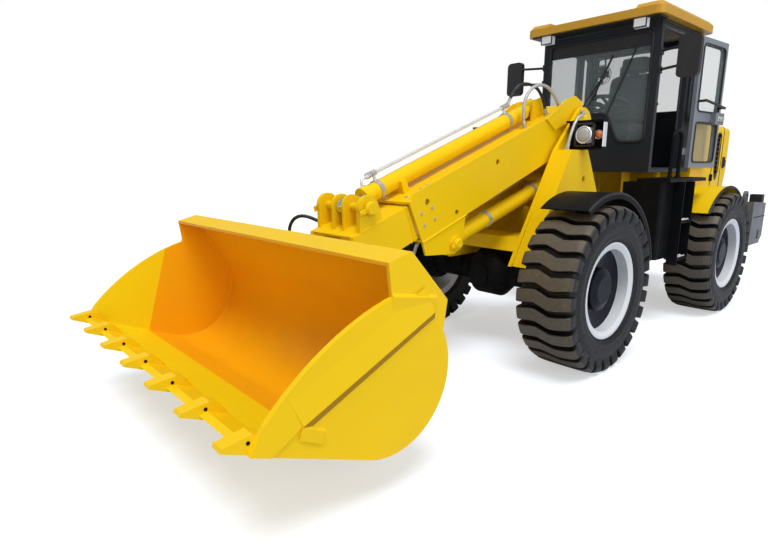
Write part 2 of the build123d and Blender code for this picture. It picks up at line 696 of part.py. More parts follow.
def hose(points, bend):
    """Hose of eight flats along straight runs joined by arcs."""
    with BuildLine() as path:
        FilletPolyline(*points, radius=bend)
    way = Vector(*points[1]) - Vector(*points[0])
    with BuildSketch(Plane(points[0], z_dir=way)) as section:
        RegularPolygon(HOSE_R, 8)
    sweep(section.sketch, path=path.line)


with BuildPart() as boom_hoses:
    for route in BOOM_HOSES:
        hose([on_boom(*point) for point in route], HOSE_BEND)
    add(boom_outer.part, mode=Mode.SUBTRACT)
    add(oil_pipe.part, mode=Mode.SUBTRACT)
write(boom_hoses, "boom_hoses")
with BuildPart() as head_hose:
    hose([on_boom(*point) for point in HEAD_HOSE], HOSE_BEND)
    add(boom_inner.part, mode=Mode.SUBTRACT)
write(head_hose, "head_hose")
with BuildPart() as tower_hose:
    hose([from_front(*point) for point in TOWER_HOSE], HOSE_BEND)
    add(front_frame.part, mode=Mode.SUBTRACT)
write(tower_hose, "tower_hose")

# Tilt cylinder inside the head: barrel on a pin in the inner boom, rod to the bucket's lug
TILT_R = 50
TILT_ROD_R = 26
TILT_BARREL = 560
TILT_BORE = 90
TILT_ROD_TAIL = 165
TILT_EYE_U, TILT_EYE_V = 876, 772
TILT_EYE_R = 45
TILT_EYE_W = 60
tilt_eye = on_bucket(TILT_EYE_U, TILT_EYE_V)
tilt_rear = on_boom(TILT_REAR_S, TILT_REAR_T)
tilt_axis = Vector(*tilt_eye) - Vector(*tilt_rear)
tilt_way = tilt_axis.normalized()


def along_tilt(distance):
    return tuple(Vector(*tilt_rear) + tilt_way * distance)


with BuildPart() as tilt_barrel:
    rod(tilt_rear, along_tilt(TILT_BARREL), TILT_R)
    bar((0, 0), TILT_R, TILT_EYE_W / 2, TILT_EYE_W, (tilt_rear[0], tilt_rear[2]))
    bar((0, 0), EXT_PIN_R + RUN, TILT_R, 2 * TILT_R, (tilt_rear[0], tilt_rear[2]), mode=Mode.SUBTRACT)
    rod(along_tilt(TILT_BORE), along_tilt(TILT_BARREL), TILT_ROD_R + RUN, mode=Mode.SUBTRACT)
write(tilt_barrel, "tilt_barrel")
with BuildPart() as tilt_rod:
    rod(along_tilt(TILT_ROD_TAIL), tilt_eye, TILT_ROD_R)
    bar((0, 0), TILT_EYE_R, TILT_EYE_W / 2, TILT_EYE_W, (tilt_eye[0], tilt_eye[2]))
    bar((0, 0), EXT_PIN_R, TILT_EYE_W / 2 + 20, TILT_EYE_W + 40, (tilt_eye[0], tilt_eye[2]))
write(tilt_rod, "tilt_rod")

# Lift cylinders: a pair on one pin in the tower, their rods up to the boom's lobes
LIFT_R = 55
LIFT_ROD_R = 32
LIFT_BARREL = 1280
LIFT_BORE, LIFT_ROD_TAIL = 110, 150
LIFT_GLAND, LIFT_COLLAR = 55, 5
LIFT_EYE_R = 52
LIFT_EYE_W = 70
lift_rear = from_front(-LIFT_PIN_BACK, 0, LIFT_PIN_Z)
lift_eye = on_boom(LIFT_EYE_S, LIFT_EYE_T)
lift_way = (Vector(*lift_eye) - Vector(*lift_rear)).normalized()


def along_lift(distance, y):
    point = Vector(*lift_rear) + lift_way * distance
    return (point.X, y, point.Z)


with BuildPart() as lift_barrels:
    for y in (LIFT_Y, -LIFT_Y):
        rod(along_lift(0, y), along_lift(LIFT_BARREL, y), LIFT_R)
        rod(along_lift(LIFT_BARREL - LIFT_GLAND, y), along_lift(LIFT_BARREL, y), LIFT_R + LIFT_COLLAR)
        bar((0, 0), LIFT_R, y + LIFT_EYE_W / 2, LIFT_EYE_W, (lift_rear[0], lift_rear[2]))
        rod(along_lift(LIFT_BORE, y), along_lift(LIFT_BARREL, y), LIFT_ROD_R + RUN, mode=Mode.SUBTRACT)
    bar((0, 0), LIFT_PIN_R + RUN, TOWER_IN, 2 * TOWER_IN, (lift_rear[0], lift_rear[2]), mode=Mode.SUBTRACT)
write(lift_barrels, "lift_barrels")
with BuildPart() as lift_rods:
    for y in (LIFT_Y, -LIFT_Y):
        rod(along_lift(LIFT_ROD_TAIL, y), (lift_eye[0], y, lift_eye[2]), LIFT_ROD_R)
        bar((0, 0), LIFT_EYE_R, y + LIFT_EYE_W / 2, LIFT_EYE_W, (lift_eye[0], lift_eye[2]))
write(lift_rods, "lift_rods")

# Bucket: rolled shell, side plates with raised side cutters, hinge ears and tilt lug at the back
TOP_BACK = (568, 872)
TOP_FRONT = (462, 793)
KINK = (534, 668)
REAR_CORNER = (867, 737)
ARC_END = 50.5
SIDE_ARC = [(293, 424), (120, 108)]  # u, v of the front edge's middle and lower end
CREASE = [(281, 122), (793, 665)]  # u, v of the side cutter's rear edge
EAR_HALF_GAP = CLEAR
EAR_T = 30
LUG_T = 25
LUG_GAP = 60
LUG_R = 55
heel_end = (HEEL_U + HEEL_R * cos(radians(ARC_END)), HEEL_R + HEEL_R * sin(radians(ARC_END)))
shell_in = HEEL_R - BUCKET_PLATE
heel_in = (HEEL_U + shell_in * cos(radians(ARC_END)), HEEL_R + shell_in * sin(radians(ARC_END)))
lean = (BUCKET_PLATE * cos(radians(ARC_END)), BUCKET_PLATE * sin(radians(ARC_END)))
top_in = (TOP_BACK[0] - lean[0], TOP_BACK[1] - lean[1])
with BuildPart() as bucket:
    with BuildSketch(bucket_side(-BUCKET_HALF_W + CUTTER_PLATE)):
        with BuildLine():
            Line((EDGE_U, 0), (HEEL_U, 0))
            CenterArc((HEEL_U, HEEL_R), HEEL_R, -90, 90 + ARC_END)
            Line(heel_end, TOP_BACK)
            Line(TOP_BACK, TOP_FRONT)
            Line(TOP_FRONT, (TOP_FRONT[0] + 8, TOP_FRONT[1] - BUCKET_PLATE))
            Line((TOP_FRONT[0] + 8, TOP_FRONT[1] - BUCKET_PLATE), top_in)
            Line(top_in, heel_in)
            CenterArc((HEEL_U, HEEL_R), shell_in, ARC_END, -90 - ARC_END)
            Line((HEEL_U, BUCKET_PLATE), (EDGE_U, BUCKET_PLATE))
            Line((EDGE_U, BUCKET_PLATE), (EDGE_U, 0))
        make_face()
    extrude(amount=2 * (BUCKET_HALF_W - CUTTER_PLATE))
    for y_low in (-BUCKET_HALF_W + CUTTER_PLATE, BUCKET_HALF_W - CUTTER_PLATE - SIDE_PLATE):
        with BuildSketch(bucket_side(y_low)) as cheek:
            with BuildLine():
                Line((EDGE_U, 0), (HEEL_U, 0))
                CenterArc((HEEL_U, HEEL_R), HEEL_R, -90, 90 + ARC_END)
                Polyline(heel_end, REAR_CORNER, TOP_BACK, TOP_FRONT, KINK)
                ThreePointArc(KINK, SIDE_ARC[0], SIDE_ARC[1])
                Line(SIDE_ARC[1], (EDGE_U, 0))
            make_face()
        extrude(cheek.sketch, amount=SIDE_PLATE)
    for y_low in (-BUCKET_HALF_W, BUCKET_HALF_W - CUTTER_PLATE):
        with BuildSketch(bucket_side(y_low)) as cutter:
            with BuildLine():
                Polyline(SIDE_ARC[1], (EDGE_U, 0), (EDGE_U + 90, 0), CREASE[0], CREASE[1], KINK)
                ThreePointArc(KINK, SIDE_ARC[0], SIDE_ARC[1])
            make_face()
        extrude(cutter.sketch, amount=CUTTER_PLATE)
    for hand in (-1, 1):
        y_in = INNER_HALF_W + EAR_HALF_GAP
        y_low = y_in if hand > 0 else -y_in - EAR_T
        with BuildSketch(bucket_side(y_low)) as hinge:
            with BuildLine():
                Polyline(
                    (HEEL_U + 200, 160),
                    (HEEL_U + 300, 300),
                    (HEEL_U + 290, 470),
                    (HEEL_U + 190, 620),
                    (BUCKET_PIN_U, BUCKET_PIN_V + LOBE_R),
                    (BUCKET_PIN_U, BUCKET_PIN_V - LOBE_R),
                    close=True,
                )
            make_face()
            with Locations((BUCKET_PIN_U, BUCKET_PIN_V)):
                Circle(LOBE_R)
                Circle(BUCKET_PIN_R + RUN, mode=Mode.SUBTRACT)
            with Locations((HEEL_U, HEEL_R)):
                Circle(HEEL_R - 1, mode=Mode.SUBTRACT)
        extrude(hinge.sketch, amount=EAR_T)
        y_low = LUG_GAP if hand > 0 else -LUG_GAP - LUG_T
        with BuildSketch(bucket_side(y_low)) as lug:
            with BuildLine():
                Polyline(
                    (880, 613),
                    (720, 746),
                    (TILT_EYE_U, TILT_EYE_V + LUG_R),
                    (TILT_EYE_U + 40, TILT_EYE_V),
                    close=True,
                )
            make_face()
            with Locations((TILT_EYE_U, TILT_EYE_V)):
                Circle(LUG_R)
        extrude(lug.sketch, amount=LUG_T)
write(bucket, "bucket")

# Cutting edge and teeth bolted on the bucket's floor
EDGE_T = 22
EDGE_DEPTH = 110
TOOTH_W = 66
TOOTH_TAIL = 190
TIP_T = 16
inside_half = BUCKET_HALF_W - CUTTER_PLATE - SIDE_PLATE
with BuildPart() as bucket_teeth:
    with BuildSketch(bucket_side(-inside_half)):
        with BuildLine():
            Polyline(
                (EDGE_U - 25, BUCKET_PLATE),
                (EDGE_U + EDGE_DEPTH, BUCKET_PLATE),
                (EDGE_U + EDGE_DEPTH - 15, BUCKET_PLATE + EDGE_T),
                (EDGE_U, BUCKET_PLATE + EDGE_T),
                close=True,
            )
        make_face()
    extrude(amount=2 * inside_half)
    pitch = (2 * inside_half - TOOTH_W) / (TOOTH_COUNT - 1)
    for number in range(TOOTH_COUNT):
        y_low = -inside_half + number * pitch
        with BuildSketch(bucket_side(y_low)) as tooth:
            with BuildLine():
                Polyline(
                    (0, 0),
                    (EDGE_U - 1, 0),
                    (EDGE_U - 1, BUCKET_PLATE),
                    (TOOTH_TAIL, BUCKET_PLATE),
                    (TOOTH_TAIL, BUCKET_PLATE + EDGE_T + 6),
                    (EDGE_U + 40, BUCKET_PLATE + EDGE_T + 38),
                    (EDGE_U, BUCKET_PLATE + EDGE_T + 38),
                    (0, TIP_T),
                    close=True,
                )
            make_face()
        extrude(tooth.sketch, amount=TOOTH_W)
write(bucket_teeth, "bucket_teeth")

# Rear frame: side plates, deck, bulkhead and the fork round the front frame's tongues
FORK_T = 30
FORK_ROOT = -290
FORK_GAP = 5
FRAME_REAR = -780
BULKHEAD = 540
BULKHEAD_T = 30
FRAME_LOW, FRAME_HIGH = 690, DECK_TOP - DECK_T
frame_front = PIVOT_X + FORK_ROOT
POST = 70
with BuildPart() as rear_frame:
    outer = FRAME_IN + FRAME_T
    for hand in (-1, 1):
        y_range = sorted((hand * FRAME_IN, hand * outer))
        block((REAR_X + FRAME_REAR, frame_front), y_range, (FRAME_LOW, FRAME_HIGH))
        block((REAR_X + BULKHEAD - BULKHEAD_T, frame_front), y_range, (TONGUE_LOW - 40, FRAME_LOW))
    block((REAR_X + FRAME_REAR, REAR_X + CAB_REAR), (-DECK_HALF_W, DECK_HALF_W), (FRAME_HIGH, DECK_TOP))
    block((REAR_X + CAB_REAR, frame_front), (-outer, outer), (FRAME_HIGH, DECK_TOP))
    x_bulkhead = (REAR_X + BULKHEAD - BULKHEAD_T, REAR_X + BULKHEAD)
    block(x_bulkhead, (-FRAME_IN, FRAME_IN), (TONGUE_LOW - 40, FRAME_HIGH))
    for low in (TONGUE_LOW, TONGUE_HIGH):
        for z in (low - FORK_GAP - FORK_T, low + TONGUE_T + FORK_GAP):
            with BuildSketch(Plane.XY.offset(z)) as fork:
                with BuildLine():
                    Polyline(
                        (frame_front - 60, FRAME_IN),
                        (frame_front, FRAME_IN),
                        (PIVOT_X, HINGE_R),
                        (PIVOT_X, -HINGE_R),
                        (frame_front, -FRAME_IN),
                        (frame_front - 60, -FRAME_IN),
                        close=True,
                    )
                make_face()
                with Locations((PIVOT_X, 0)):
                    Circle(HINGE_R)
            extrude(fork.sketch, amount=FORK_T)
        rod(
            (PIVOT_X, 0, low - FORK_GAP - FORK_T - 10),
            (PIVOT_X, 0, low + TONGUE_T + FORK_GAP + FORK_T + 10),
            HINGE_PIN_R,
        )
    for x in (CAB_FRONT - 120, CAB_REAR + 120):
        for hand in (-1, 1):
            y = hand * (FRAME_IN - POST)
            rod(from_rear(x, y, DECK_TOP), from_rear(x, y, CAB_LOW), POST / 2)
write(rear_frame, "rear_frame")

# Steering cylinders: barrels on the bulkhead's brackets, rods to the front frame's ears
STEER_BACK = 590
STEER_IN = 230
STEER_R = 45
STEER_ROD_R = 25
STEER_BARREL = 430
STEER_PIN_R = 22
STEER_EYE_W = 60
STEER_BORE, STEER_ROD_TAIL = 70, 290
STEER_EAR_R = 45
STEER_EAR_IN, STEER_EAR_OUT = 50, 75
with BuildPart() as steer_brackets:
    for hand in (-1, 1):
        x, y = PIVOT_X - STEER_BACK, hand * STEER_IN
        for low, high in ((-STEER_EAR_OUT, -STEER_EAR_IN), (STEER_EAR_IN, STEER_EAR_OUT)):
            z_ear = (STEER_Z + low, STEER_Z + high)
            block((REAR_X + BULKHEAD, x), (y - STEER_EAR_R, y + STEER_EAR_R), z_ear)
            rod((x, y, z_ear[0]), (x, y, z_ear[1]), STEER_EAR_R)
        rod((x, y, STEER_Z - STEER_EAR_OUT), (x, y, STEER_Z + STEER_EAR_OUT), STEER_PIN_R)
write(steer_brackets, "steering_brackets")
for name, hand in (("left", 1), ("right", -1)):
    rear_pin = Vector(PIVOT_X - STEER_BACK, hand * STEER_IN, STEER_Z)
    front_pin = Vector(PIVOT_X + STEER_AHEAD, hand * STEER_OUT, STEER_Z)
    way = (front_pin - rear_pin).normalized()
    half = Vector(0, 0, STEER_EYE_W / 2)
    with BuildPart() as barrel:
        rod(tuple(rear_pin), tuple(rear_pin + way * STEER_BARREL), STEER_R)
        rod(tuple(rear_pin - half), tuple(rear_pin + half), STEER_R)
        rod(tuple(rear_pin - half * 2), tuple(rear_pin + half * 2), STEER_PIN_R + RUN, mode=Mode.SUBTRACT)
        bore_end = tuple(rear_pin + way * STEER_BARREL)
        rod(tuple(rear_pin + way * STEER_BORE), bore_end, STEER_ROD_R + RUN, mode=Mode.SUBTRACT)
    write(barrel, f"steering_barrel_{name}")
    with BuildPart() as steer_rod:
        rod(tuple(rear_pin + way * STEER_ROD_TAIL), tuple(front_pin), STEER_ROD_R)
        rod(tuple(front_pin - half), tuple(front_pin + half), STEER_R)
    write(steer_rod, f"steering_rod_{name}")

# Engine as one plain block on the deck
ENGINE_FRONT, ENGINE_REAR = -30, -730
ENGINE_HALF_W, ENGINE_TOP = 300, 1650
with BuildPart() as engine:
    x_engine = (REAR_X + ENGINE_REAR, REAR_X + ENGINE_FRONT)
    block(x_engine, (-ENGINE_HALF_W, ENGINE_HALF_W), (DECK_TOP, ENGINE_TOP))
write(engine, "engine")

# Engine hood: closed shell on the deck, with vent openings
HOOD_FRONT, HOOD_REAR = 60, -980
HOOD_TOP, HOOD_TOP_REAR = 1900, 1830
HOOD_T = 22
HOOD_HALF_W = CAB_HALF_W + 15
HOOD_EDGE = 45
VENT = (-620, -720)
VENT_LOW, VENT_HIGH = 1330, 1760
REAR_VENT_HALF = 400
REAR_VENT_LOW, REAR_VENT_HIGH = 1250, 1720
HOOD_KNEE_Z, HOOD_KNEE, HOOD_FOOT = 1400, -10, 60
with BuildPart() as hood:
    outline = [
        (HOOD_FRONT, DECK_TOP),
        (HOOD_FRONT, HOOD_TOP),
        (HOOD_REAR, HOOD_TOP_REAR),
        (HOOD_REAR + HOOD_KNEE, HOOD_KNEE_Z),
        (HOOD_REAR + HOOD_FOOT, DECK_TOP),
    ]
    plate(outline, HOOD_HALF_W, 2 * HOOD_HALF_W, REAR)
    hollow = [
        (HOOD_FRONT - HOOD_T, DECK_TOP - 1),
        (HOOD_FRONT - HOOD_T, HOOD_TOP - HOOD_T),
        (HOOD_REAR + HOOD_T, HOOD_TOP_REAR - HOOD_T),
        (HOOD_REAR + HOOD_T + HOOD_KNEE, HOOD_KNEE_Z),
        (HOOD_REAR + HOOD_T + HOOD_FOOT, DECK_TOP - 1),
    ]
    along = [e for e in hood.edges() if abs(e.tangent_at(0.5).Y) < 0.1 and e.center().Z > HOOD_TOP_REAR]
    fillet(along, HOOD_EDGE)
    plate(hollow, HOOD_HALF_W - HOOD_T, 2 * (HOOD_HALF_W - HOOD_T), REAR, mode=Mode.SUBTRACT)
    block(
        (REAR_X + VENT[1], REAR_X + VENT[0]),
        (-HOOD_HALF_W - 1, HOOD_HALF_W + 1),
        (VENT_LOW, VENT_HIGH),
        mode=Mode.SUBTRACT,
    )
    x_cut = (REAR_X + HOOD_REAR - 50, REAR_X + HOOD_REAR + 60)
    y_cut = (-REAR_VENT_HALF, REAR_VENT_HALF)
    block(x_cut, y_cut, (REAR_VENT_LOW, REAR_VENT_HIGH), mode=Mode.SUBTRACT)
write(hood, "hood")

# Grilles: slatted frames in the hood's vents and at its rear
SLAT = 12
SIDE_SLATS, REAR_SLATS = 9, 11
GRILLE_EDGE, REAR_EDGE = 8, 20
GRILLE_T = 16
with BuildPart() as grilles:
    for hand in (-1, 1):
        y_range = sorted((hand * (HOOD_HALF_W - HOOD_T), hand * (HOOD_HALF_W - 4)))
        x_low, x_high = REAR_X + VENT[1] + RUN, REAR_X + VENT[0] - RUN
        block((x_low, x_high), y_range, (VENT_LOW + RUN, VENT_HIGH - RUN))
        step = (VENT_HIGH - VENT_LOW) / SIDE_SLATS
        x_slot = (x_low + GRILLE_EDGE, x_high - GRILLE_EDGE)
        for number in range(SIDE_SLATS):
            low = VENT_LOW + number * step + SLAT
            block(x_slot, y_range, (low, low + step - SLAT), mode=Mode.SUBTRACT)
    low_z, high_z = REAR_VENT_LOW + RUN, REAR_VENT_HIGH - RUN
    step = (high_z - low_z) / REAR_SLATS
    x_low = REAR_X + HOOD_REAR + GRILLE_EDGE
    half = REAR_VENT_HALF - RUN
    block((x_low, x_low + GRILLE_T), (-half, half), (low_z, high_z))
    half = REAR_VENT_HALF - REAR_EDGE
    for number in range(REAR_SLATS):
        low = low_z + number * step + SLAT
        block((x_low, x_low + GRILLE_T), (-half, half), (low, low + step - SLAT), mode=Mode.SUBTRACT)
write(grilles, "grilles")

# Counterweight across the rear, with lifting eyes
WEIGHT_HALF_W = 950
WEIGHT_LOW, WEIGHT_HIGH = 580, 1050
EYE_R, EYE_HOLE_R = 55, 25
EYE_BACK = -1090
EYE_ROOT, EYE_UP = 45, 45
EYE_Y, EYE_T = 780, 30
WEIGHT_CORNER = 60
WEIGHT_FALL = 30
WEIGHT_RAKE_X, WEIGHT_RAKE_Z = 140, 130
POCKET_DEPTH = 60
POCKET_X = (190, 250)
POCKET_Z = (50, 150)
x_pocket = [REAR_X - REAR_REACH + x for x in POCKET_X]
z_pocket = [WEIGHT_LOW + z for z in POCKET_Z]
with BuildPart() as counterweight:
    plate(
        [
            (FRAME_REAR, WEIGHT_LOW),
            (FRAME_REAR, WEIGHT_HIGH),
            (-REAR_REACH, WEIGHT_HIGH - WEIGHT_FALL),
            (-REAR_REACH, WEIGHT_LOW + WEIGHT_RAKE_Z),
            (-REAR_REACH + WEIGHT_RAKE_X, WEIGHT_LOW),
        ],
        WEIGHT_HALF_W,
        2 * WEIGHT_HALF_W,
        REAR,
    )
    sides = counterweight.edges().filter_by(Axis.Z).group_by(Axis.X)[0]
    fillet(sides, WEIGHT_CORNER)
    for hand in (-1, 1):
        y_pocket = sorted((hand * (WEIGHT_HALF_W - POCKET_DEPTH), hand * (WEIGHT_HALF_W + 1)))
        block(x_pocket, y_pocket, z_pocket, mode=Mode.SUBTRACT)
write(counterweight, "counterweight")
with BuildPart() as lifting_eyes:
    for hand in (-1, 1):
        y = hand * EYE_Y + EYE_T / 2
        with BuildSketch(side(y, REAR)) as eye:
            with Locations((EYE_BACK, WEIGHT_HIGH + EYE_UP)):
                Circle(EYE_R)
            with BuildLine():
                Polyline(
                    (EYE_BACK - EYE_R, WEIGHT_HIGH - EYE_ROOT),
                    (EYE_BACK - EYE_R, WEIGHT_HIGH + EYE_UP),
                    (EYE_BACK + EYE_R, WEIGHT_HIGH + EYE_UP),
                    (EYE_BACK + EYE_R, WEIGHT_HIGH - EYE_ROOT),
                    close=True,
                )
            make_face()
            with Locations((EYE_BACK, WEIGHT_HIGH + EYE_UP)):
                Circle(EYE_HOLE_R, mode=Mode.SUBTRACT)
        extrude(eye.sketch, amount=EYE_T)
    add(counterweight.part, mode=Mode.SUBTRACT)
write(lifting_eyes, "lifting_eyes")

# Tow hitch under the counterweight: a clevis with an upright pin hole
HITCH_BACK = -1050
HITCH_HALF = 80
HITCH_PIN_R = 20
HITCH_LOW = WEIGHT_LOW - 110
HITCH_JAW_T = 30
HITCH_NOSE, HITCH_TAIL = 120, 90
JAW_END = 60
HITCH_PIN_BACK = 20
with BuildPart() as tow_hitch:
    x = REAR_X + HITCH_BACK
    block((x - HITCH_TAIL, x + HITCH_NOSE), (-HITCH_HALF, HITCH_HALF), (HITCH_LOW, WEIGHT_LOW))
    jaw = (HITCH_LOW + HITCH_JAW_T, WEIGHT_LOW - HITCH_JAW_T)
    x_jaw = (x - HITCH_TAIL - 1, x + JAW_END)
    block(x_jaw, (-HITCH_HALF - 1, HITCH_HALF + 1), jaw, mode=Mode.SUBTRACT)
    x_pin = x - HITCH_PIN_BACK
    rod((x_pin, 0, HITCH_LOW - 1), (x_pin, 0, WEIGHT_LOW), HITCH_PIN_R, mode=Mode.SUBTRACT)
write(tow_hitch, "tow_hitch")

# Rear mudguards: a band over each rear wheel, on the deck's edge
REAR_GUARD_OUT = 930
REAR_GUARD_R = TYRE_R + 55
REAR_GUARD_START, REAR_GUARD_SWEEP = 40, 100
with BuildPart() as rear_guards:
    with BuildSketch(side(REAR_GUARD_OUT, (REAR_X, AXLE_Z))):
        with BuildLine():
            inner = CenterArc((0, 0), REAR_GUARD_R, REAR_GUARD_START, REAR_GUARD_SWEEP)
            outer = CenterArc((0, 0), REAR_GUARD_R + GUARD_T, REAR_GUARD_START, REAR_GUARD_SWEEP)
            Line(inner @ 0, outer @ 0)
            Line(inner @ 1, outer @ 1)
        make_face()
    extrude(amount=REAR_GUARD_OUT - DECK_HALF_W)
    mirror(about=Plane.XZ)
write(rear_guards, "rear_guards")

# Side tanks under the platforms
TANK_FRONT, TANK_REAR = 1160, 690
TANK_IN, TANK_OUT = FRAME_IN + FRAME_T, 760
TANK_LOW, PLATFORM_Z = 620, 1320
TANK_CORNER = 30
PLATFORM_T = 30
with BuildPart() as tanks:
    block((REAR_X + TANK_REAR, REAR_X + TANK_FRONT), (TANK_IN, TANK_OUT), (TANK_LOW, PLATFORM_Z - PLATFORM_T))
    fillet(tanks.edges().filter_by(Axis.Z), TANK_CORNER)
    mirror(about=Plane.XZ)
write(tanks, "side_tanks")

# Platforms with ladders down to the ground on both sides
PLATFORM_REAR = 340
PLATFORM_OUT = 820
LADDER_FRONT, LADDER_REAR = 920, 700
LADDER_OUT = 850
RAIL_T = 12
STEPS = [600, 930]
STEP_T = 28
with BuildPart() as platforms:
    block(
        (REAR_X + PLATFORM_REAR, REAR_X + TANK_FRONT),
        (CAB_HALF_W - 20, PLATFORM_OUT),
        (PLATFORM_Z - PLATFORM_T, PLATFORM_Z),
    )
    for x in (LADDER_FRONT, LADDER_REAR):
        x_rail = (REAR_X + x - RAIL_T, REAR_X + x)
        block(x_rail, (TANK_OUT, LADDER_OUT), (STEPS[0] - 40, PLATFORM_Z - PLATFORM_T))
    for z in STEPS:
        block((REAR_X + LADDER_REAR, REAR_X + LADDER_FRONT), (TANK_OUT + RUN, LADDER_OUT), (z, z + STEP_T))
    mirror(about=Plane.XZ)
write(platforms, "platforms")

# Hoop handrails at the platforms' front
HOOP_R, HOOP_BEND = 16, 80
HOOP_HIGH = 1720
HOOP_FRONT, HOOP_REAR = 1090, 920
HOOP_Y = 780
with BuildPart() as handrails:
    with BuildLine() as hoop:
        FilletPolyline(
            from_rear(HOOP_FRONT, HOOP_Y, PLATFORM_Z),
            from_rear(HOOP_FRONT, HOOP_Y, HOOP_HIGH),
            from_rear(HOOP_REAR, HOOP_Y, HOOP_HIGH),
            from_rear(HOOP_REAR, HOOP_Y, PLATFORM_Z),
            radius=HOOP_BEND,
        )
    with BuildSketch(Plane(from_rear(HOOP_FRONT, HOOP_Y, PLATFORM_Z), z_dir=(0, 0, 1))) as section:
        RegularPolygon(HOOP_R, 8)
    sweep(section.sketch, path=hoop.line)
    mirror(about=Plane.XZ)
write(handrails, "handrails")

# Cab shell: floor, pillars and panels with the windows and the left doorway cut
WINDOW_TOP = CAB_HIGH - 80
SILL = 1900
SIDE_SILL = 1850
REAR_SILL = 1950
FLOOR_T = 40
GLASS_IN = 20
REAR_WINDOW_HALF = 470
FRONT_WINDOW_HALF = 490
QUARTER_FRONT, QUARTER_REAR = 290, 140
x_front, x_rear = REAR_X + CAB_FRONT, REAR_X + CAB_REAR
wall_in = CAB_HALF_W - CAB_WALL
HINGE_X, HINGE_Y = REAR_X + DOOR_REAR - 15, CAB_HALF_W + 25
HINGES = [DOOR_LOW + 160, DOOR_HIGH - 190]  # heights of the door's hinges
KNUCKLE_R, KNUCKLE_PIN_R = 14, 8
KNUCKLE_HALF = 30
WINDSHIELD = [  # y, z
    (-FRONT_WINDOW_HALF, SILL),
    (130, SILL),
    (260, 1640),
    (FRONT_WINDOW_HALF, 1640),
    (FRONT_WINDOW_HALF, WINDOW_TOP),
    (-FRONT_WINDOW_HALF, WINDOW_TOP),
]
SIDE_WINDOWS = [  # rear x, front x, low z, side
    (DOOR_REAR, DOOR_FRONT, SIDE_SILL, -1),
    (QUARTER_REAR, QUARTER_FRONT, SIDE_SILL, -1),
    (QUARTER_REAR, QUARTER_FRONT, SIDE_SILL, 1),
]
with BuildPart() as cab:
    block((x_rear, x_front), (-CAB_HALF_W, CAB_HALF_W), (CAB_LOW, CAB_HIGH))
    x_room = (x_rear + CAB_WALL, x_front - CAB_WALL)
    block(x_room, (-wall_in, wall_in), (CAB_LOW + FLOOR_T, CAB_HIGH), mode=Mode.SUBTRACT)
    with BuildSketch(Plane.YZ.offset(x_front)) as screen:
        with BuildLine():
            Polyline(*WINDSHIELD, close=True)
        make_face()
    extrude(screen.sketch, amount=-CAB_WALL, mode=Mode.SUBTRACT)
    block(
        (REAR_X + DOOR_REAR, REAR_X + DOOR_FRONT),
        (wall_in, CAB_HALF_W),
        (DOOR_LOW, DOOR_HIGH),
        mode=Mode.SUBTRACT,
    )
    for rear, front, low, hand in SIDE_WINDOWS:
        y_range = sorted((hand * wall_in, hand * CAB_HALF_W))
        block((REAR_X + rear, REAR_X + front), y_range, (low, WINDOW_TOP), mode=Mode.SUBTRACT)
    half = REAR_WINDOW_HALF
    block((x_rear, x_rear + CAB_WALL), (-half, half), (REAR_SILL, WINDOW_TOP), mode=Mode.SUBTRACT)
    for z in HINGES:
        for low in (z - KNUCKLE_HALF - 22, z + KNUCKLE_HALF + 2):
            block((HINGE_X - KNUCKLE_R, HINGE_X + KNUCKLE_R), (CAB_HALF_W, HINGE_Y), (low, low + 20))
            rod((HINGE_X, HINGE_Y, low), (HINGE_X, HINGE_Y, low + 20), KNUCKLE_R)
        reach = KNUCKLE_HALF + 22
        rod((HINGE_X, HINGE_Y, z - reach), (HINGE_X, HINGE_Y, z + reach), KNUCKLE_PIN_R)
write(cab, "cab_frame")

# Fixed glass, set in the middle of the cab's walls
with BuildPart() as cab_glass:
    with BuildSketch(Plane.YZ.offset(x_front - GLASS_IN)) as screen:
        with BuildLine():
            Polyline(*WINDSHIELD, close=True)
        make_face()
        offset(amount=-RUN, mode=Mode.REPLACE, kind=Kind.INTERSECTION)
    extrude(screen.sketch, amount=-GLASS_T)
    for rear, front, low, hand in SIDE_WINDOWS:
        y_out = CAB_HALF_W - GLASS_IN
        y_range = sorted((hand * y_out, hand * (y_out - GLASS_T)))
        block((REAR_X + rear + RUN, REAR_X + front - RUN), y_range, (low + RUN, WINDOW_TOP - RUN))
    half = REAR_WINDOW_HALF - RUN
    x_pane = (x_rear + GLASS_IN, x_rear + GLASS_IN + GLASS_T)
    block(x_pane, (-half, half), (REAR_SILL + RUN, WINDOW_TOP - RUN))
write(cab_glass, "cab_glass")

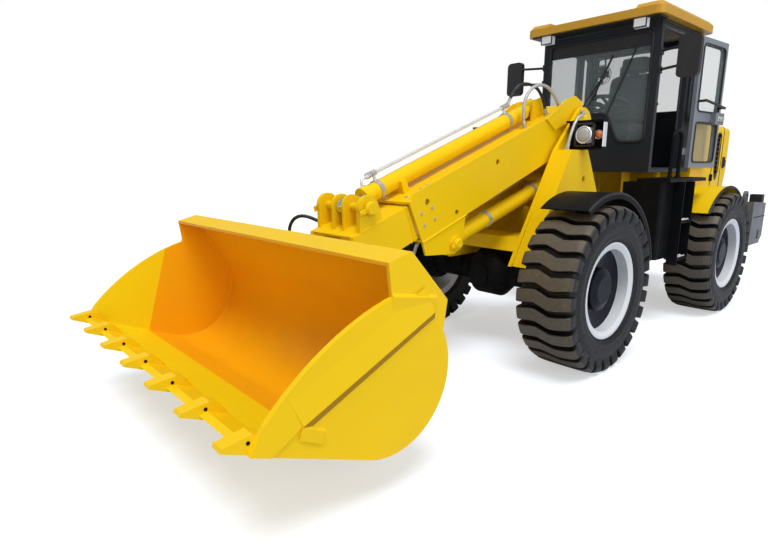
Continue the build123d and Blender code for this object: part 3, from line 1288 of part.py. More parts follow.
# Left door, drawn closed and turned back about its hinges to where it stands open
DOOR_RAIL = 55
DOOR_SPLIT_LOW, DOOR_SPLIT_HIGH = 1830, 1930
LOCK_W, LOCK_H, LOCK_T = 190, 110, 45
LOCK_EDGE = 20
hinge_axis = Axis((HINGE_X, HINGE_Y, 0), (0, 0, 1))
door_x = (REAR_X + DOOR_REAR + CLEAR, REAR_X + DOOR_FRONT - CLEAR)
door_z = (DOOR_LOW + CLEAR, DOOR_HIGH - CLEAR)
door_y = (CAB_HALF_W - DOOR_T, CAB_HALF_W)
pane_x = (door_x[0] + DOOR_RAIL, door_x[1] - DOOR_RAIL)
PANES = [(door_z[0] + DOOR_RAIL, DOOR_SPLIT_LOW), (DOOR_SPLIT_HIGH, door_z[1] - DOOR_RAIL)]  # low z, high z
with BuildPart() as door_closed:
    block(door_x, door_y, door_z)
    for pane in PANES:
        block(pane_x, door_y, pane, mode=Mode.SUBTRACT)
    lock_x = (door_x[1] - LOCK_EDGE - LOCK_W, door_x[1] - LOCK_EDGE)
    lock_z = (DOOR_SPLIT_HIGH - LOCK_H, DOOR_SPLIT_HIGH)
    block(lock_x, (door_y[0] - LOCK_T, door_y[0]), lock_z)
    for z in HINGES:
        z_leaf = (z - KNUCKLE_HALF, z + KNUCKLE_HALF)
        block((HINGE_X, door_x[0] + 30), (CAB_HALF_W + 4, CAB_HALF_W + 14), z_leaf)
        block((door_x[0] + 4, door_x[0] + 30), (CAB_HALF_W, CAB_HALF_W + 4), z_leaf)
        rod((HINGE_X, HINGE_Y, z - KNUCKLE_HALF), (HINGE_X, HINGE_Y, z + KNUCKLE_HALF), KNUCKLE_R)
        rod((HINGE_X, HINGE_Y, z - 40), (HINGE_X, HINGE_Y, z + 40), KNUCKLE_PIN_R + RUN, mode=Mode.SUBTRACT)
with BuildPart() as panes_closed:
    y_pane = (CAB_HALF_W - DOOR_T / 2 - GLASS_T / 2, CAB_HALF_W - DOOR_T / 2 + GLASS_T / 2)
    for low, high in PANES:
        block((pane_x[0] + RUN, pane_x[1] - RUN), y_pane, (low + RUN, high - RUN))
with BuildPart() as door:
    add(door_closed.part.rotate(hinge_axis, DOOR_OPEN))
write(door, "door_frame")
with BuildPart() as door_glass:
    add(panes_closed.part.rotate(hinge_axis, DOOR_OPEN))
write(door_glass, "door_glass")

# Roof: crowned slab that overhangs the cab
ROOF_FRONT, ROOF_REAR = 1200, 30
ROOF_HALF_W = 640
ROOF_T = 100
ROOF_CORNER, ROOF_CUT = 70, 35
PAN_HALF_W, PAN_DEPTH, PAN_REAR = 410, 32, 220
with BuildPart() as roof:
    with BuildSketch(Plane.XY.offset(CAB_HIGH)):
        with Locations((REAR_X + (ROOF_FRONT + ROOF_REAR) / 2, 0)):
            RectangleRounded(ROOF_FRONT - ROOF_REAR, 2 * ROOF_HALF_W, ROOF_CORNER)
    extrude(amount=ROOF_T)
    chamfer(roof.faces().sort_by(Axis.Z)[-1].edges(), ROOF_CUT)
    x_pan = (REAR_X + ROOF_REAR + PAN_REAR, REAR_X + ROOF_FRONT + 1)
    z_pan = (CAB_HIGH + ROOF_T - PAN_DEPTH, CAB_HIGH + ROOF_T + 1)
    block(x_pan, (-PAN_HALF_W, PAN_HALF_W), z_pan, mode=Mode.SUBTRACT)
write(roof, "cab_roof")

# Work lamps under the roof's front corners and at its rear
LAMP_W, LAMP_H, LAMP_D = 110, 80, 60
LAMP_Y = 440
LAMP_SET_BACK = 90
with BuildPart() as work_lamps:
    for x_low in (REAR_X + ROOF_FRONT - LAMP_SET_BACK, REAR_X + CAB_REAR - LAMP_D):
        for y in (-LAMP_Y, LAMP_Y):
            block((x_low, x_low + LAMP_D), (y - LAMP_W / 2, y + LAMP_W / 2), (CAB_HIGH - LAMP_H, CAB_HIGH))
write(work_lamps, "work_lamps")

# Mirrors on bent arms from the front pillars
MIRROR_Y, MIRROR_Z = 830, CAB_HIGH - 350
MIRROR_W, MIRROR_H, MIRROR_T = 170, 320, 50
MIRROR_AHEAD, MIRROR_CORNER = 60, 40
ARM_R = 11
ARM_BACK, ARM_IN = 25, 10
ARMS = [-60, 90]  # heights over the mirror's middle
with BuildPart() as mirrors:
    x = x_front + MIRROR_AHEAD
    y_mirror = (MIRROR_Y - MIRROR_W / 2, MIRROR_Y + MIRROR_W / 2)
    block((x, x + MIRROR_T), y_mirror, (MIRROR_Z - MIRROR_H / 2, MIRROR_Z + MIRROR_H / 2))
    fillet(mirrors.edges().filter_by(Axis.X), MIRROR_CORNER)
    for up in ARMS:
        z = MIRROR_Z + up
        rod((x_front - ARM_BACK, CAB_HALF_W, z), (x + MIRROR_T / 2, y_mirror[0] + ARM_IN, z), ARM_R)
    mirror(about=Plane.XZ)
    block((x_rear, x_front), (-CAB_HALF_W, CAB_HALF_W), (CAB_LOW, CAB_HIGH), mode=Mode.SUBTRACT)
write(mirrors, "mirrors")

# Driver's place: console with steering column and wheel, and a suspension seat
SEAT_X = 470
SEAT_Z = 1830
CUSHION_T = 110
HEAD_TOP = CAB_HIGH - 140
BACK_TOP = HEAD_TOP - 170
SEAT_HALF_W, HEAD_HALF_W = 240, 140
WHEEL_AHEAD, WHEEL_Z = 700, 1990
RING_R, RING_HALF = 190, 13
SPOKE_W, SPOKE_HALF = 26, 7
HUB_DISC_R, HUB_DISC_T, RING_UP = 45, 25, 14
COLUMN_AHEAD, COLUMN_Z, COLUMN_R = 830, 1650, 35
CONSOLE_X, CONSOLE_HALF_W, CONSOLE_TOP = (820, 930), 130, 1700
BASE_HALF_X, BASE_HALF_Y = 180, 170
with BuildPart() as console:
    floor = CAB_LOW + FLOOR_T
    x_base = (REAR_X + SEAT_X - BASE_HALF_X, REAR_X + SEAT_X + BASE_HALF_X)
    block(x_base, (-BASE_HALF_Y, BASE_HALF_Y), (floor, SEAT_Z - CUSHION_T))
    x_console = [REAR_X + x for x in CONSOLE_X]
    block(x_console, (-CONSOLE_HALF_W, CONSOLE_HALF_W), (floor, CONSOLE_TOP))
    rod(from_rear(COLUMN_AHEAD, 0, COLUMN_Z), from_rear(WHEEL_AHEAD, 0, WHEEL_Z), COLUMN_R)
write(console, "console")
with BuildPart() as steering_wheel:
    hub_point = from_rear(WHEEL_AHEAD, 0, WHEEL_Z)
    wheel_axis = Vector(WHEEL_AHEAD - COLUMN_AHEAD, 0, WHEEL_Z - COLUMN_Z)
    with BuildSketch(Plane(hub_point, z_dir=tuple(wheel_axis))) as disc:
        Circle(HUB_DISC_R)
    extrude(disc.sketch, amount=HUB_DISC_T)
    ring_point = Vector(*hub_point) + wheel_axis.normalized() * RING_UP
    wheel_plane = Plane(tuple(ring_point), z_dir=tuple(wheel_axis))
    with BuildSketch(wheel_plane) as spokes:
        with PolarLocations(RING_R / 2, 3):
            Rectangle(RING_R - RING_HALF, SPOKE_W)
    extrude(spokes.sketch, amount=SPOKE_HALF, both=True)
    with BuildSketch(wheel_plane) as ring:
        Circle(RING_R + RING_HALF)
        Circle(RING_R - RING_HALF, mode=Mode.SUBTRACT)
    extrude(ring.sketch, amount=RING_HALF, both=True)
write(steering_wheel, "steering_wheel")
with BuildPart() as seat:
    x = REAR_X + SEAT_X
    block((x - 230, x + 230), (-SEAT_HALF_W, SEAT_HALF_W), (SEAT_Z - CUSHION_T, SEAT_Z))
    back = [(-235, SEAT_Z + RUN), (-115, SEAT_Z + RUN), (-175, BACK_TOP), (-295, BACK_TOP)]
    plate(back, SEAT_HALF_W, 2 * SEAT_HALF_W, (x, 0))
    head = [(-185, BACK_TOP + RUN), (-305, BACK_TOP + RUN), (-325, HEAD_TOP), (-215, HEAD_TOP)]
    plate(head, HEAD_HALF_W, 2 * HEAD_HALF_W, (x, 0))
write(seat, "seat")

# Exhaust stack on the hood, and tail lamps on the counterweight's top
EXHAUST = (-190, -300)  # x from the rear axle, y
EXHAUST_TOP, EXHAUST_R, EXHAUST_BORE = 2480, 48, 40
MOUTH_DEPTH = 40
EXHAUST_ROOT = HOOD_TOP_REAR + 45
with BuildPart() as exhaust:
    rod(from_rear(*EXHAUST, EXHAUST_ROOT), from_rear(*EXHAUST, EXHAUST_TOP), EXHAUST_R)
    mouth = from_rear(*EXHAUST, EXHAUST_TOP - MOUTH_DEPTH)
    rod(mouth, from_rear(*EXHAUST, EXHAUST_TOP + 1), EXHAUST_BORE, mode=Mode.SUBTRACT)
    add(hood.part, mode=Mode.SUBTRACT)
write(exhaust, "exhaust")
with BuildPart() as tail_lamps:
    for hand in (-1, 1):
        y = hand * 860
        x = REAR_X - REAR_REACH
        block((x + 40, x + 110), (y - 60, y + 60), (WEIGHT_HIGH - 30, WEIGHT_HIGH + 60))
    add(counterweight.part, mode=Mode.SUBTRACT)
write(tail_lamps, "tail_lamps")
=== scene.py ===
# %% [markdown]
# The machine is an articulated wheel loader with a telescopic boom. Its solids come from the packed
# model, as a fixed frame: they are never moved. This script dresses them. It gives every surface a
# finish, and adds what a solid model leaves out: tread rubber, seat cushions, hoses, wipers, bolts and
# seals.

import json
from functools import partial

import bmesh
import bpy
import numpy as np
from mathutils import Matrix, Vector


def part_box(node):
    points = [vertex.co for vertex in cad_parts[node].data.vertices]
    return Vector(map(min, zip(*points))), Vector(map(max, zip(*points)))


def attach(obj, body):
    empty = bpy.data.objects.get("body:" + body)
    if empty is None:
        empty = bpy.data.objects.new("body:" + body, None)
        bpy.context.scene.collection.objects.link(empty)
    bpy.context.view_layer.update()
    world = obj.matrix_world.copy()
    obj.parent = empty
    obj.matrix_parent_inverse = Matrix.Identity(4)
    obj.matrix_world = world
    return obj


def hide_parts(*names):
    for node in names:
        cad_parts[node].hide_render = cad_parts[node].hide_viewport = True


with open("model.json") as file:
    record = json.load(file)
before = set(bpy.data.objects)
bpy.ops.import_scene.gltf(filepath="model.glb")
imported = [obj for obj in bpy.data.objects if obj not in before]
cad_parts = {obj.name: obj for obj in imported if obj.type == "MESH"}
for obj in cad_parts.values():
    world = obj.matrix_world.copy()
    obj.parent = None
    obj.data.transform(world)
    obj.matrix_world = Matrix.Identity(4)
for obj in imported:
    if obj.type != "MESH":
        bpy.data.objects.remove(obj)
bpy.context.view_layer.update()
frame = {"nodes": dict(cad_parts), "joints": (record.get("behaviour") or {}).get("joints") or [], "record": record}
nodes = frame["nodes"]
joints = {joint["name"]: joint for joint in frame["joints"]}

# %% [markdown]
# Three places lead all others: the boom's own axes, the wheels' centres and the rear axle, which the cab
# and the hood are measured from. They are read from the joints, so that they agree with the motion.

# %% Read the leading places from the joints
BOOM_PIVOT = np.array(joints["lift"]["pos_m"])
BOOM_ALONG = np.array(joints["extension"]["axis"], float)
BOOM_UP = np.array([-BOOM_ALONG[2], 0, BOOM_ALONG[0]])
WHEELS = ["front_left", "front_right", "rear_left", "rear_right"]
wheel_centre = {name: np.array(joints[f"{name}_wheel"]["pos_m"]) for name in WHEELS}
FRONT_X = wheel_centre["front_left"][0]
REAR_X = wheel_centre["rear_left"][0]
ACROSS = np.array([0.0, 1.0, 0.0])
FORWARD, BACKWARDS, UP = (1, 0, 0), (-1, 0, 0), (0, 0, 1)


def on_boom(s, t, y=0.0):
    """A point at s along the boom from its pivot, t above its axis and y across."""
    return BOOM_PIVOT * (1, 0, 1) + s * BOOM_ALONG + t * BOOM_UP + y * ACROSS


def from_rear(x, y, z):
    """A point measured forward from the rear axle."""
    return np.array([REAR_X + x, y, z])


def from_front(x, y, z):
    """A point measured forward from the front axle."""
    return np.array([FRONT_X + x, y, z])


print("boom pivot", BOOM_PIVOT, "axles", FRONT_X, REAR_X)

# %% [markdown]
# Most pieces here are grids: a table of points with rows and columns, whose neighbours are joined by
# quads. A tube, a ring, a cushion and a tyre are all such grids, closed in one direction or both.

# %% Make a mesh object from a grid of points
def grid_faces(rows, columns, close_rows, close_columns):
    """Quads between neighbouring points of a grid, as an array of four indices a face."""
    i, j = np.meshgrid(
        np.arange(rows if close_rows else rows - 1),
        np.arange(columns if close_columns else columns - 1),
        indexing="ij",
    )
    down, right = (i + 1) % rows, (j + 1) % columns
    corners = (i * columns + j, i * columns + right, down * columns + right, down * columns + j)
    return np.stack([corner.ravel() for corner in corners], axis=1)


def mesh_piece(name, points, faces, crease=35, shut=True):
    """An object at the origin, smooth but for edges sharper than the crease angle."""
    mesh = bpy.data.meshes.new(name)
    mesh.from_pydata(np.asarray(points).tolist(), [], [list(face) for face in faces])
    if shut:
        shell = bmesh.new()
        shell.from_mesh(mesh)
        bmesh.ops.recalc_face_normals(shell, faces=shell.faces)
        shell.to_mesh(mesh)
        shell.free()
    mesh.shade_smooth()
    mesh.set_sharp_from_angle(angle=np.radians(crease))
    piece = bpy.data.objects.new(name, mesh)
    bpy.context.scene.collection.objects.link(piece)
    return piece


def join_parts(parts):
    """Several (points, faces) pairs as one pair, each part's faces shifted past the points before it."""
    points, faces, start = [], [], 0
    for part_points, part_faces in parts:
        points.append(np.asarray(part_points).reshape(-1, 3))
        faces.extend([[start + int(index) for index in face] for face in part_faces])
        start += len(points[-1])
    return np.concatenate(points), faces


print("grid helpers ready")


# %% Tubes along paths
def frames_along(path, ring):
    """Two unit vectors square to a path at each of its points, carried along with no twist."""
    tangent = np.roll(path, -1, axis=0) - np.roll(path, 1, axis=0) if ring else np.gradient(path, axis=0)
    tangent /= np.linalg.norm(tangent, axis=1, keepdims=True)
    first = np.cross(tangent[0], (0.31, 0.17, 0.93))
    normals = [first / np.linalg.norm(first)]
    for way in tangent[1:]:
        carried = normals[-1] - way * np.dot(normals[-1], way)
        normals.append(carried / np.linalg.norm(carried))
    normal = np.array(normals)
    return normal, np.cross(tangent, normal)


def capped_faces(rows, sides, ring=False):
    """A tube's quads, with the two many-sided faces that close its ends unless it is joined into a ring."""
    last = (rows - 1) * sides
    ends = [list(range(sides))[::-1], [last + index for index in range(sides)]]
    return grid_faces(rows, sides, ring, True).tolist() + ([] if ring else ends)


def tube(path, radius, sides=12, ring=False):
    """A tube: the circle radius*(cos a, sin a) carried along a path, with flat ends or joined to a ring."""
    path = np.asarray(path, float)
    normal, binormal = frames_along(path, ring)
    angle = np.linspace(0, 2 * np.pi, sides, endpoint=False)[None, :, None]
    radius = np.broadcast_to(np.asarray(radius, float), len(path))[:, None, None]
    points = path[:, None] + radius * (np.cos(angle) * normal[:, None] + np.sin(angle) * binormal[:, None])
    return points.reshape(-1, 3), capped_faces(len(path), sides, ring)


def rounded_loop(corners, radius, steps=5):
    """A closed line whose corners are cut by curves (1-u)^2*start + 2u(1-u)*corner + u^2*end."""
    corners = np.asarray(corners, float)
    before = np.roll(corners, 1, axis=0) - corners
    after = np.roll(corners, -1, axis=0) - corners
    start = (corners + radius * before / np.linalg.norm(before, axis=1, keepdims=True))[:, None]
    end = (corners + radius * after / np.linalg.norm(after, axis=1, keepdims=True))[:, None]
    u = np.linspace(0, 1, steps)[None, :, None]
    return ((1 - u) ** 2 * start + 2 * u * (1 - u) * corners[:, None] + u**2 * end).reshape(-1, 3)


def smooth_path(corners, count=40, tension=0.5):
    """A curve through given points: cubic pieces whose slopes come from the neighbouring points."""
    corners = np.asarray(corners, float)
    slope = np.gradient(corners, axis=0) * 2 * tension
    spot = np.linspace(0, len(corners) - 1, count)
    index = np.minimum(spot.astype(int), len(corners) - 2)
    u = (spot - index)[:, None]
    a, b = corners[index], corners[index + 1]
    m, n = slope[index], slope[index + 1]
    leaving = (2 * u**3 - 3 * u**2 + 1) * a + (u**3 - 2 * u**2 + u) * m
    return leaving + (3 * u**2 - 2 * u**3) * b + (u**3 - u**2) * n


print("tube helpers ready")


# %% Turned parts, slabs and bolts
def turned(centre, axis, profile, sides=20, ring=False):
    """A turned part: circles of (distance along the axis, radius), with flat ends or joined to a ring."""
    axis = np.asarray(axis, float) / np.linalg.norm(axis)
    first = np.cross(axis, (0.31, 0.17, 0.93))
    first /= np.linalg.norm(first)
    angle = np.linspace(0, 2 * np.pi, sides, endpoint=False)[:, None]
    circle = np.cos(angle) * first + np.sin(angle) * np.cross(axis, first)
    profile = np.asarray(profile, float)
    points = np.asarray(centre) + profile[:, :1, None] * axis + profile[:, 1:, None] * circle[None]
    return points.reshape(-1, 3), capped_faces(len(profile), sides, ring)


def sleeve(half, inner, outer):
    """The profile of a short sleeve, half its length each way, to be turned and joined to a ring."""
    return [(-half, inner), (-half, outer), (half, outer), (half, inner)]


def slab(low, high, cut=0.004):
    """A box between two corners with its edges cut back: an outline of eight points, swept up four levels."""
    low, high = np.minimum(low, high), np.maximum(low, high)
    cut = min(cut, 0.45 * float(np.min(high - low)))
    (x0, y0, z0), (x1, y1, z1) = low, high
    rings = []
    for inset, z in ((cut, z0), (0, z0 + cut), (0, z1 - cut), (cut, z1)):
        a, b, c, d = x0 + inset, x1 - inset, y0 + inset, y1 - inset
        outline = [(a + cut, c), (b - cut, c), (b, c + cut), (b, d - cut)]
        outline += [(b - cut, d), (a + cut, d), (a, d - cut), (a, c + cut)]
        rings += [(x, y, z) for x, y in outline]
    return np.array(rings), capped_faces(4, 8)


def bolt(centre, axis, size):
    """A hexagon head on a washer, both turned about the bolt's axis."""
    head = [(0.1 * size, size), (0.62 * size, size), (0.74 * size, 0.82 * size)]
    washer = [(-0.05 * size, 1.25 * size), (0.12 * size, 1.25 * size), (0.16 * size, 1.15 * size)]
    return [turned(centre, axis, washer, 16), turned(centre, axis, head, 6)]


print("solid helpers ready")


# %% Pieces that ride on a body
def placed(part, place):
    """A part moved from a body's own axes into the machine's frame by a function of three coordinates."""
    points, faces = part
    return place(*np.asarray(points).T[:, :, None]), faces


def piece_of(name, parts, body, finish, crease=35, place=None):
    """One object from several (points, faces) pairs, riding on a body; place carries them to the frame."""
    if place:
        parts = [placed(part, place) for part in parts]
    piece = mesh_piece(name, *join_parts(parts), crease)
    dress(piece, finishes[finish])
    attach(piece, body)
    print(name, len(piece.data.polygons), "faces on", body)
    return piece


def dress(piece, finish):
    """One material on a piece."""
    piece.data.materials.clear()
    piece.data.materials.append(finish)


print("piece helpers ready")

# %% [markdown]
# Finishes come in two layers. A node group works out what is uneven on the surface: tone, gloss, dust
# near the ground and a fine skin. Each material then sets its own colour and feeds the group's results to
# its shader.

# %% Shader helpers
def add_node(tree, kind, **inputs):
    """A node of a kind, with input values set by socket name and properties set by attribute name."""
    node = tree.nodes.new(kind)
    for key, value in inputs.items():
        name = key.replace("_", " ")
        if name in node.inputs:
            node.inputs[name].default_value = value
        else:
            setattr(node, key, value)
    return node


def set_inputs(node, **values):
    """Plain values on a node's sockets, by socket name with underscores for spaces."""
    for key, value in values.items():
        node.inputs[key.replace("_", " ")].default_value = value


def new_group(name, inputs, outputs):
    """A shader group with named sockets, given as (name, kind, default)."""
    group = bpy.data.node_groups.new(name, "ShaderNodeTree")
    for label, kind, default in inputs:
        socket = group.interface.new_socket(label, in_out="INPUT", socket_type=f"NodeSocket{kind}")
        socket.default_value = default
    for label, kind in outputs:
        group.interface.new_socket(label, in_out="OUTPUT", socket_type=f"NodeSocket{kind}")
    return group, group.nodes.new("NodeGroupInput"), group.nodes.new("NodeGroupOutput")


def feed(tree, socket, value):
    """A link from another socket, or a plain value on the socket itself."""
    if isinstance(value, bpy.types.NodeSocket):
        tree.links.new(value, socket)
    else:
        socket.default_value = value


def mix_colour(tree, factor, first, second, blend="MIX"):
    """A colour mix; each argument is a socket or a plain value."""
    node = add_node(tree, "ShaderNodeMix", data_type="RGBA", blend_type=blend)
    for index, value in ((0, factor), (6, first), (7, second)):
        feed(tree, node.inputs[index], value)
    return node.outputs[2]


def spread(tree, value, low, high, to_low=0.0, to_high=1.0):
    """A value stretched from one range to another and held inside it."""
    node = add_node(tree, "ShaderNodeMapRange", From_Min=low, From_Max=high, To_Min=to_low, To_Max=to_high)
    tree.links.new(value, node.inputs["Value"])
    return node.outputs["Result"]


def noise(tree, place, scale, detail=3.0, roughness=0.55):
    """A noise value at a place."""
    node = add_node(tree, "ShaderNodeTexNoise", Scale=scale, Detail=detail, Roughness=roughness)
    tree.links.new(place, node.inputs["Vector"])
    return node.outputs["Fac"]


def cloud(tree, place, scale, detail, low=0.0, high=1.0):
    """Noise whose usual range, 0.3 to 0.7, is stretched to reach from low to high."""
    return spread(tree, noise(tree, place, scale, detail), 0.3, 0.7, low, high)


def arithmetic(tree, operation, first, second):
    """One step of arithmetic between sockets or plain values."""
    node = add_node(tree, "ShaderNodeMath", operation=operation)
    feed(tree, node.inputs[0], first)
    feed(tree, node.inputs[1], second)
    return node.outputs[0]


def vector_step(tree, operation, first, second=(0, 0, 0)):
    """One step of vector arithmetic between sockets or plain vectors."""
    node = add_node(tree, "ShaderNodeVectorMath", operation=operation)
    feed(tree, node.inputs[0], first)
    feed(tree, node.inputs[1], second)
    return node.outputs["Value" if operation in ("DOT_PRODUCT", "LENGTH") else "Vector"]


def coordinate(tree, place, axis):
    """One coordinate of a place, by the axis's name."""
    split = tree.nodes.new("ShaderNodeSeparateXYZ")
    tree.links.new(place, split.inputs[0])
    return split.outputs[axis]


print("shader helpers ready")

# %% The group that makes paint uneven
paint_group, group_in, group_out = new_group(
    "uneven_paint",
    [
        ("Place", "Vector", (0, 0, 0)),
        ("Colour", "Color", (0.8, 0.8, 0.8, 1)),
        ("Dust Colour", "Color", (0.35, 0.28, 0.2, 1)),
        ("Dust", "Float", 0.25),
        ("Gloss Low", "Float", 0.25),
        ("Gloss High", "Float", 0.42),
    ],
    [("Colour", "Color"), ("Roughness", "Float"), ("Height", "Float")],
)
tree = paint_group
place = group_in.outputs["Place"]
tone = cloud(tree, place, 1.7, 4, 0.0, 0.08)
shade = mix_colour(tree, tone, group_in.outputs["Colour"], (0.35, 0.35, 0.35, 1), "MULTIPLY")
low_down = spread(tree, coordinate(tree, place, "Z"), 0.1, 1.5, 1.0, 0.12)
patch = spread(tree, noise(tree, place, 9.0, 6, 0.65), 0.42, 0.72)
dust = arithmetic(tree, "MULTIPLY", arithmetic(tree, "MULTIPLY", low_down, patch), group_in.outputs["Dust"])
tree.links.new(mix_colour(tree, dust, shade, group_in.outputs["Dust Colour"]), group_out.inputs["Colour"])
gloss = add_node(tree, "ShaderNodeMapRange")
tree.links.new(cloud(tree, place, 5.0, 5), gloss.inputs["Value"])
tree.links.new(group_in.outputs["Gloss Low"], gloss.inputs["To Min"])
tree.links.new(group_in.outputs["Gloss High"], gloss.inputs["To Max"])
dull = arithmetic(tree, "ADD", gloss.outputs[0], arithmetic(tree, "MULTIPLY", dust, 0.5))
tree.links.new(dull, group_out.inputs["Roughness"])
tree.links.new(noise(tree, place, 260.0, 1), group_out.inputs["Height"])
print("group", paint_group.name)


# %% Materials made from the paint group
def start_material(name):
    """A fresh material with its tree, shader and object coordinates."""
    material = bpy.data.materials.new(name)
    material.use_nodes = True
    tree = material.node_tree
    shader = tree.nodes["Principled BSDF"]
    place = tree.nodes.new("ShaderNodeTexCoord").outputs["Object"]
    return material, tree, shader, place


def bump(tree, shader, height, strength, distance):
    """A bump node between a height and the shader's normal."""
    node = add_node(tree, "ShaderNodeBump", Strength=strength, Distance=distance)
    tree.links.new(height, node.inputs["Height"])
    tree.links.new(node.outputs[0], shader.inputs["Normal"])


COAT_ROUGH, SKIN_DEPTH = 0.12, 0.0008


def paint(name, colour, dust=0.25, gloss=(0.25, 0.42), metallic=0.0, coat=0.0, skin=0.05, shine=0.5):
    """Enamel with uneven tone and gloss; the colour is plain, or a function of tree and place."""
    material, tree, shader, place = start_material(name)
    group = add_node(tree, "ShaderNodeGroup", node_tree=paint_group)
    settings = {"Place": place, "Dust": dust, "Gloss Low": gloss[0], "Gloss High": gloss[1]}
    settings["Colour"] = colour(tree, place) if callable(colour) else (*colour, 1)
    for socket, value in settings.items():
        feed(tree, group.inputs[socket], value)
    set_inputs(shader, Metallic=metallic, Coat_Weight=coat, Coat_Roughness=COAT_ROUGH)
    set_inputs(shader, Specular_IOR_Level=shine)
    tree.links.new(group.outputs["Colour"], shader.inputs["Base Color"])
    tree.links.new(group.outputs["Roughness"], shader.inputs["Roughness"])
    bump(tree, shader, group.outputs["Height"], skin, SKIN_DEPTH)
    return material


YELLOW = (0.87, 0.56, 0.004)
finishes = {
    "yellow_paint": paint("yellow_enamel", YELLOW, dust=0.03, gloss=(0.30, 0.42), coat=0.02, shine=0.14),
    # Painted shade: the roof's colour is darkened to the tone of its shaded front edge.
    "roof_paint": paint(
        "roof_enamel", (0.58, 0.31, 0.025), dust=0.1, gloss=(0.32, 0.45), coat=0.05, shine=0.3
    ),
    "black_paint": paint("black_enamel", (0.006, 0.0064, 0.0075), dust=0.02, gloss=(0.34, 0.5), shine=0.06),
    "grey_paint": paint("grey_enamel", (0.135, 0.142, 0.155), dust=0.08, gloss=(0.36, 0.52), shine=0.35),
    "cab_paint": paint(
        "cab_enamel", (0.022, 0.026, 0.034), dust=0.02, gloss=(0.28, 0.42), coat=0.04, shine=0.2
    ),
    "rod_chrome": paint("rod_chrome", (0.75, 0.75, 0.77), dust=0.05, gloss=(0.06, 0.14), metallic=1.0),
    "pipe_steel": paint("plated_steel", (0.84, 0.85, 0.86), dust=0.03, gloss=(0.22, 0.36), metallic=0.45),
    "black_plastic": paint("moulded_plastic", (0.014, 0.014, 0.016), dust=0.2, gloss=(0.42, 0.58), skin=0.25),
    "engine_iron": paint(
        "cast_iron", (0.10, 0.10, 0.105), dust=0.5, gloss=(0.55, 0.7), metallic=0.4, skin=0.5
    ),
    "door_paint": paint("door_enamel", (0.20, 0.22, 0.25), dust=0.1, gloss=(0.26, 0.4), coat=0.3),
    # Painted shade: a dark ochre for the thin strips over the bucket ridges' steep flanks.
    "crease": paint("crease_enamel", (0.40, 0.21, 0.004), dust=0.1, gloss=(0.4, 0.55), shine=0.1),
    "zinc": paint("zinc_plate", (0.56, 0.55, 0.52), dust=0.1, gloss=(0.3, 0.45), metallic=0.6),
    "mirror": paint(
        "silvered_glass", (0.82, 0.84, 0.85), dust=0.0, gloss=(0.02, 0.05), metallic=1.0, skin=0.0
    ),
    "wear_pad": paint("nylon_pad", (0.55, 0.53, 0.47), dust=0.2, gloss=(0.45, 0.6)),
}
print("finishes", sorted(finishes))

# %% [markdown]
# Glass, lamp lenses and rubber don't share the paint's group. Glass is kept partly clear, so that light
# still reaches the cab's inside, and the lenses carry fine ribs.

# %% Glass, lenses and rubber
glass, tree, shader, place = start_material("cab_glass")
set_inputs(shader, Base_Color=(0.30, 0.37, 0.38, 1), Alpha=0.22)
tree.links.new(cloud(tree, place, 14.0, 4, 0.02, 0.07), shader.inputs["Roughness"])
finishes["glass"] = glass


def lens(name, colour, glow):
    """A ribbed plastic lens with a little light of its own."""
    material, tree, shader, place = start_material(name)
    set_inputs(shader, Coat_Weight=0.8, Emission_Color=(*colour, 1), Emission_Strength=glow)
    ribs = add_node(tree, "ShaderNodeTexWave", Scale=38.0, bands_direction="Y")
    tree.links.new(place, ribs.inputs["Vector"])
    tree.links.new(spread(tree, ribs.outputs["Fac"], 0, 1, 0.12, 0.3), shader.inputs["Roughness"])
    tint = mix_colour(tree, ribs.outputs["Fac"], (*colour, 1), tuple(0.7 * c for c in colour) + (1,))
    tree.links.new(tint, shader.inputs["Base Color"])
    bump(tree, shader, ribs.outputs["Fac"], 0.4, 0.003)
    return material


LENSES = [  # finish, material, colour, glow
    ("lamp_lens", "clear_lens", (0.78, 0.79, 0.79), 0.25),
    ("head_lens", "head_lens", (0.50, 0.51, 0.52), 0.04),
    ("amber_lens", "amber_lens", (0.75, 0.16, 0.01), 0.05),
    ("red_lens", "red_lens", (0.45, 0.01, 0.01), 0.03),
]
for finish, name, colour, glow in LENSES:
    finishes[finish] = lens(name, colour, glow)

rubber, tree, shader, place = start_material("hose_rubber")
set_inputs(shader, Base_Color=(0.012, 0.012, 0.013, 1))
tree.links.new(cloud(tree, place, 30.0, 3, 0.4, 0.6), shader.inputs["Roughness"])
bump(tree, shader, noise(tree, place, 300.0, 2), 0.3, 0.001)
finishes["hose_rubber"] = rubber

vinyl, tree, shader, place = start_material("seat_vinyl")
grain = noise(tree, place, 55.0, 5, 0.6)
dark, light = (0.020, 0.021, 0.024, 1), (0.034, 0.035, 0.039, 1)
tree.links.new(mix_colour(tree, spread(tree, grain, 0.3, 0.7), dark, light), shader.inputs["Base Color"])
tree.links.new(spread(tree, grain, 0.3, 0.7, 0.5, 0.72), shader.inputs["Roughness"])
pores = add_node(tree, "ShaderNodeTexVoronoi", Scale=420.0)
tree.links.new(place, pores.inputs["Vector"])
bump(tree, shader, pores.outputs["Distance"], 0.12, 0.001)
finishes["seat_fabric"] = vinyl

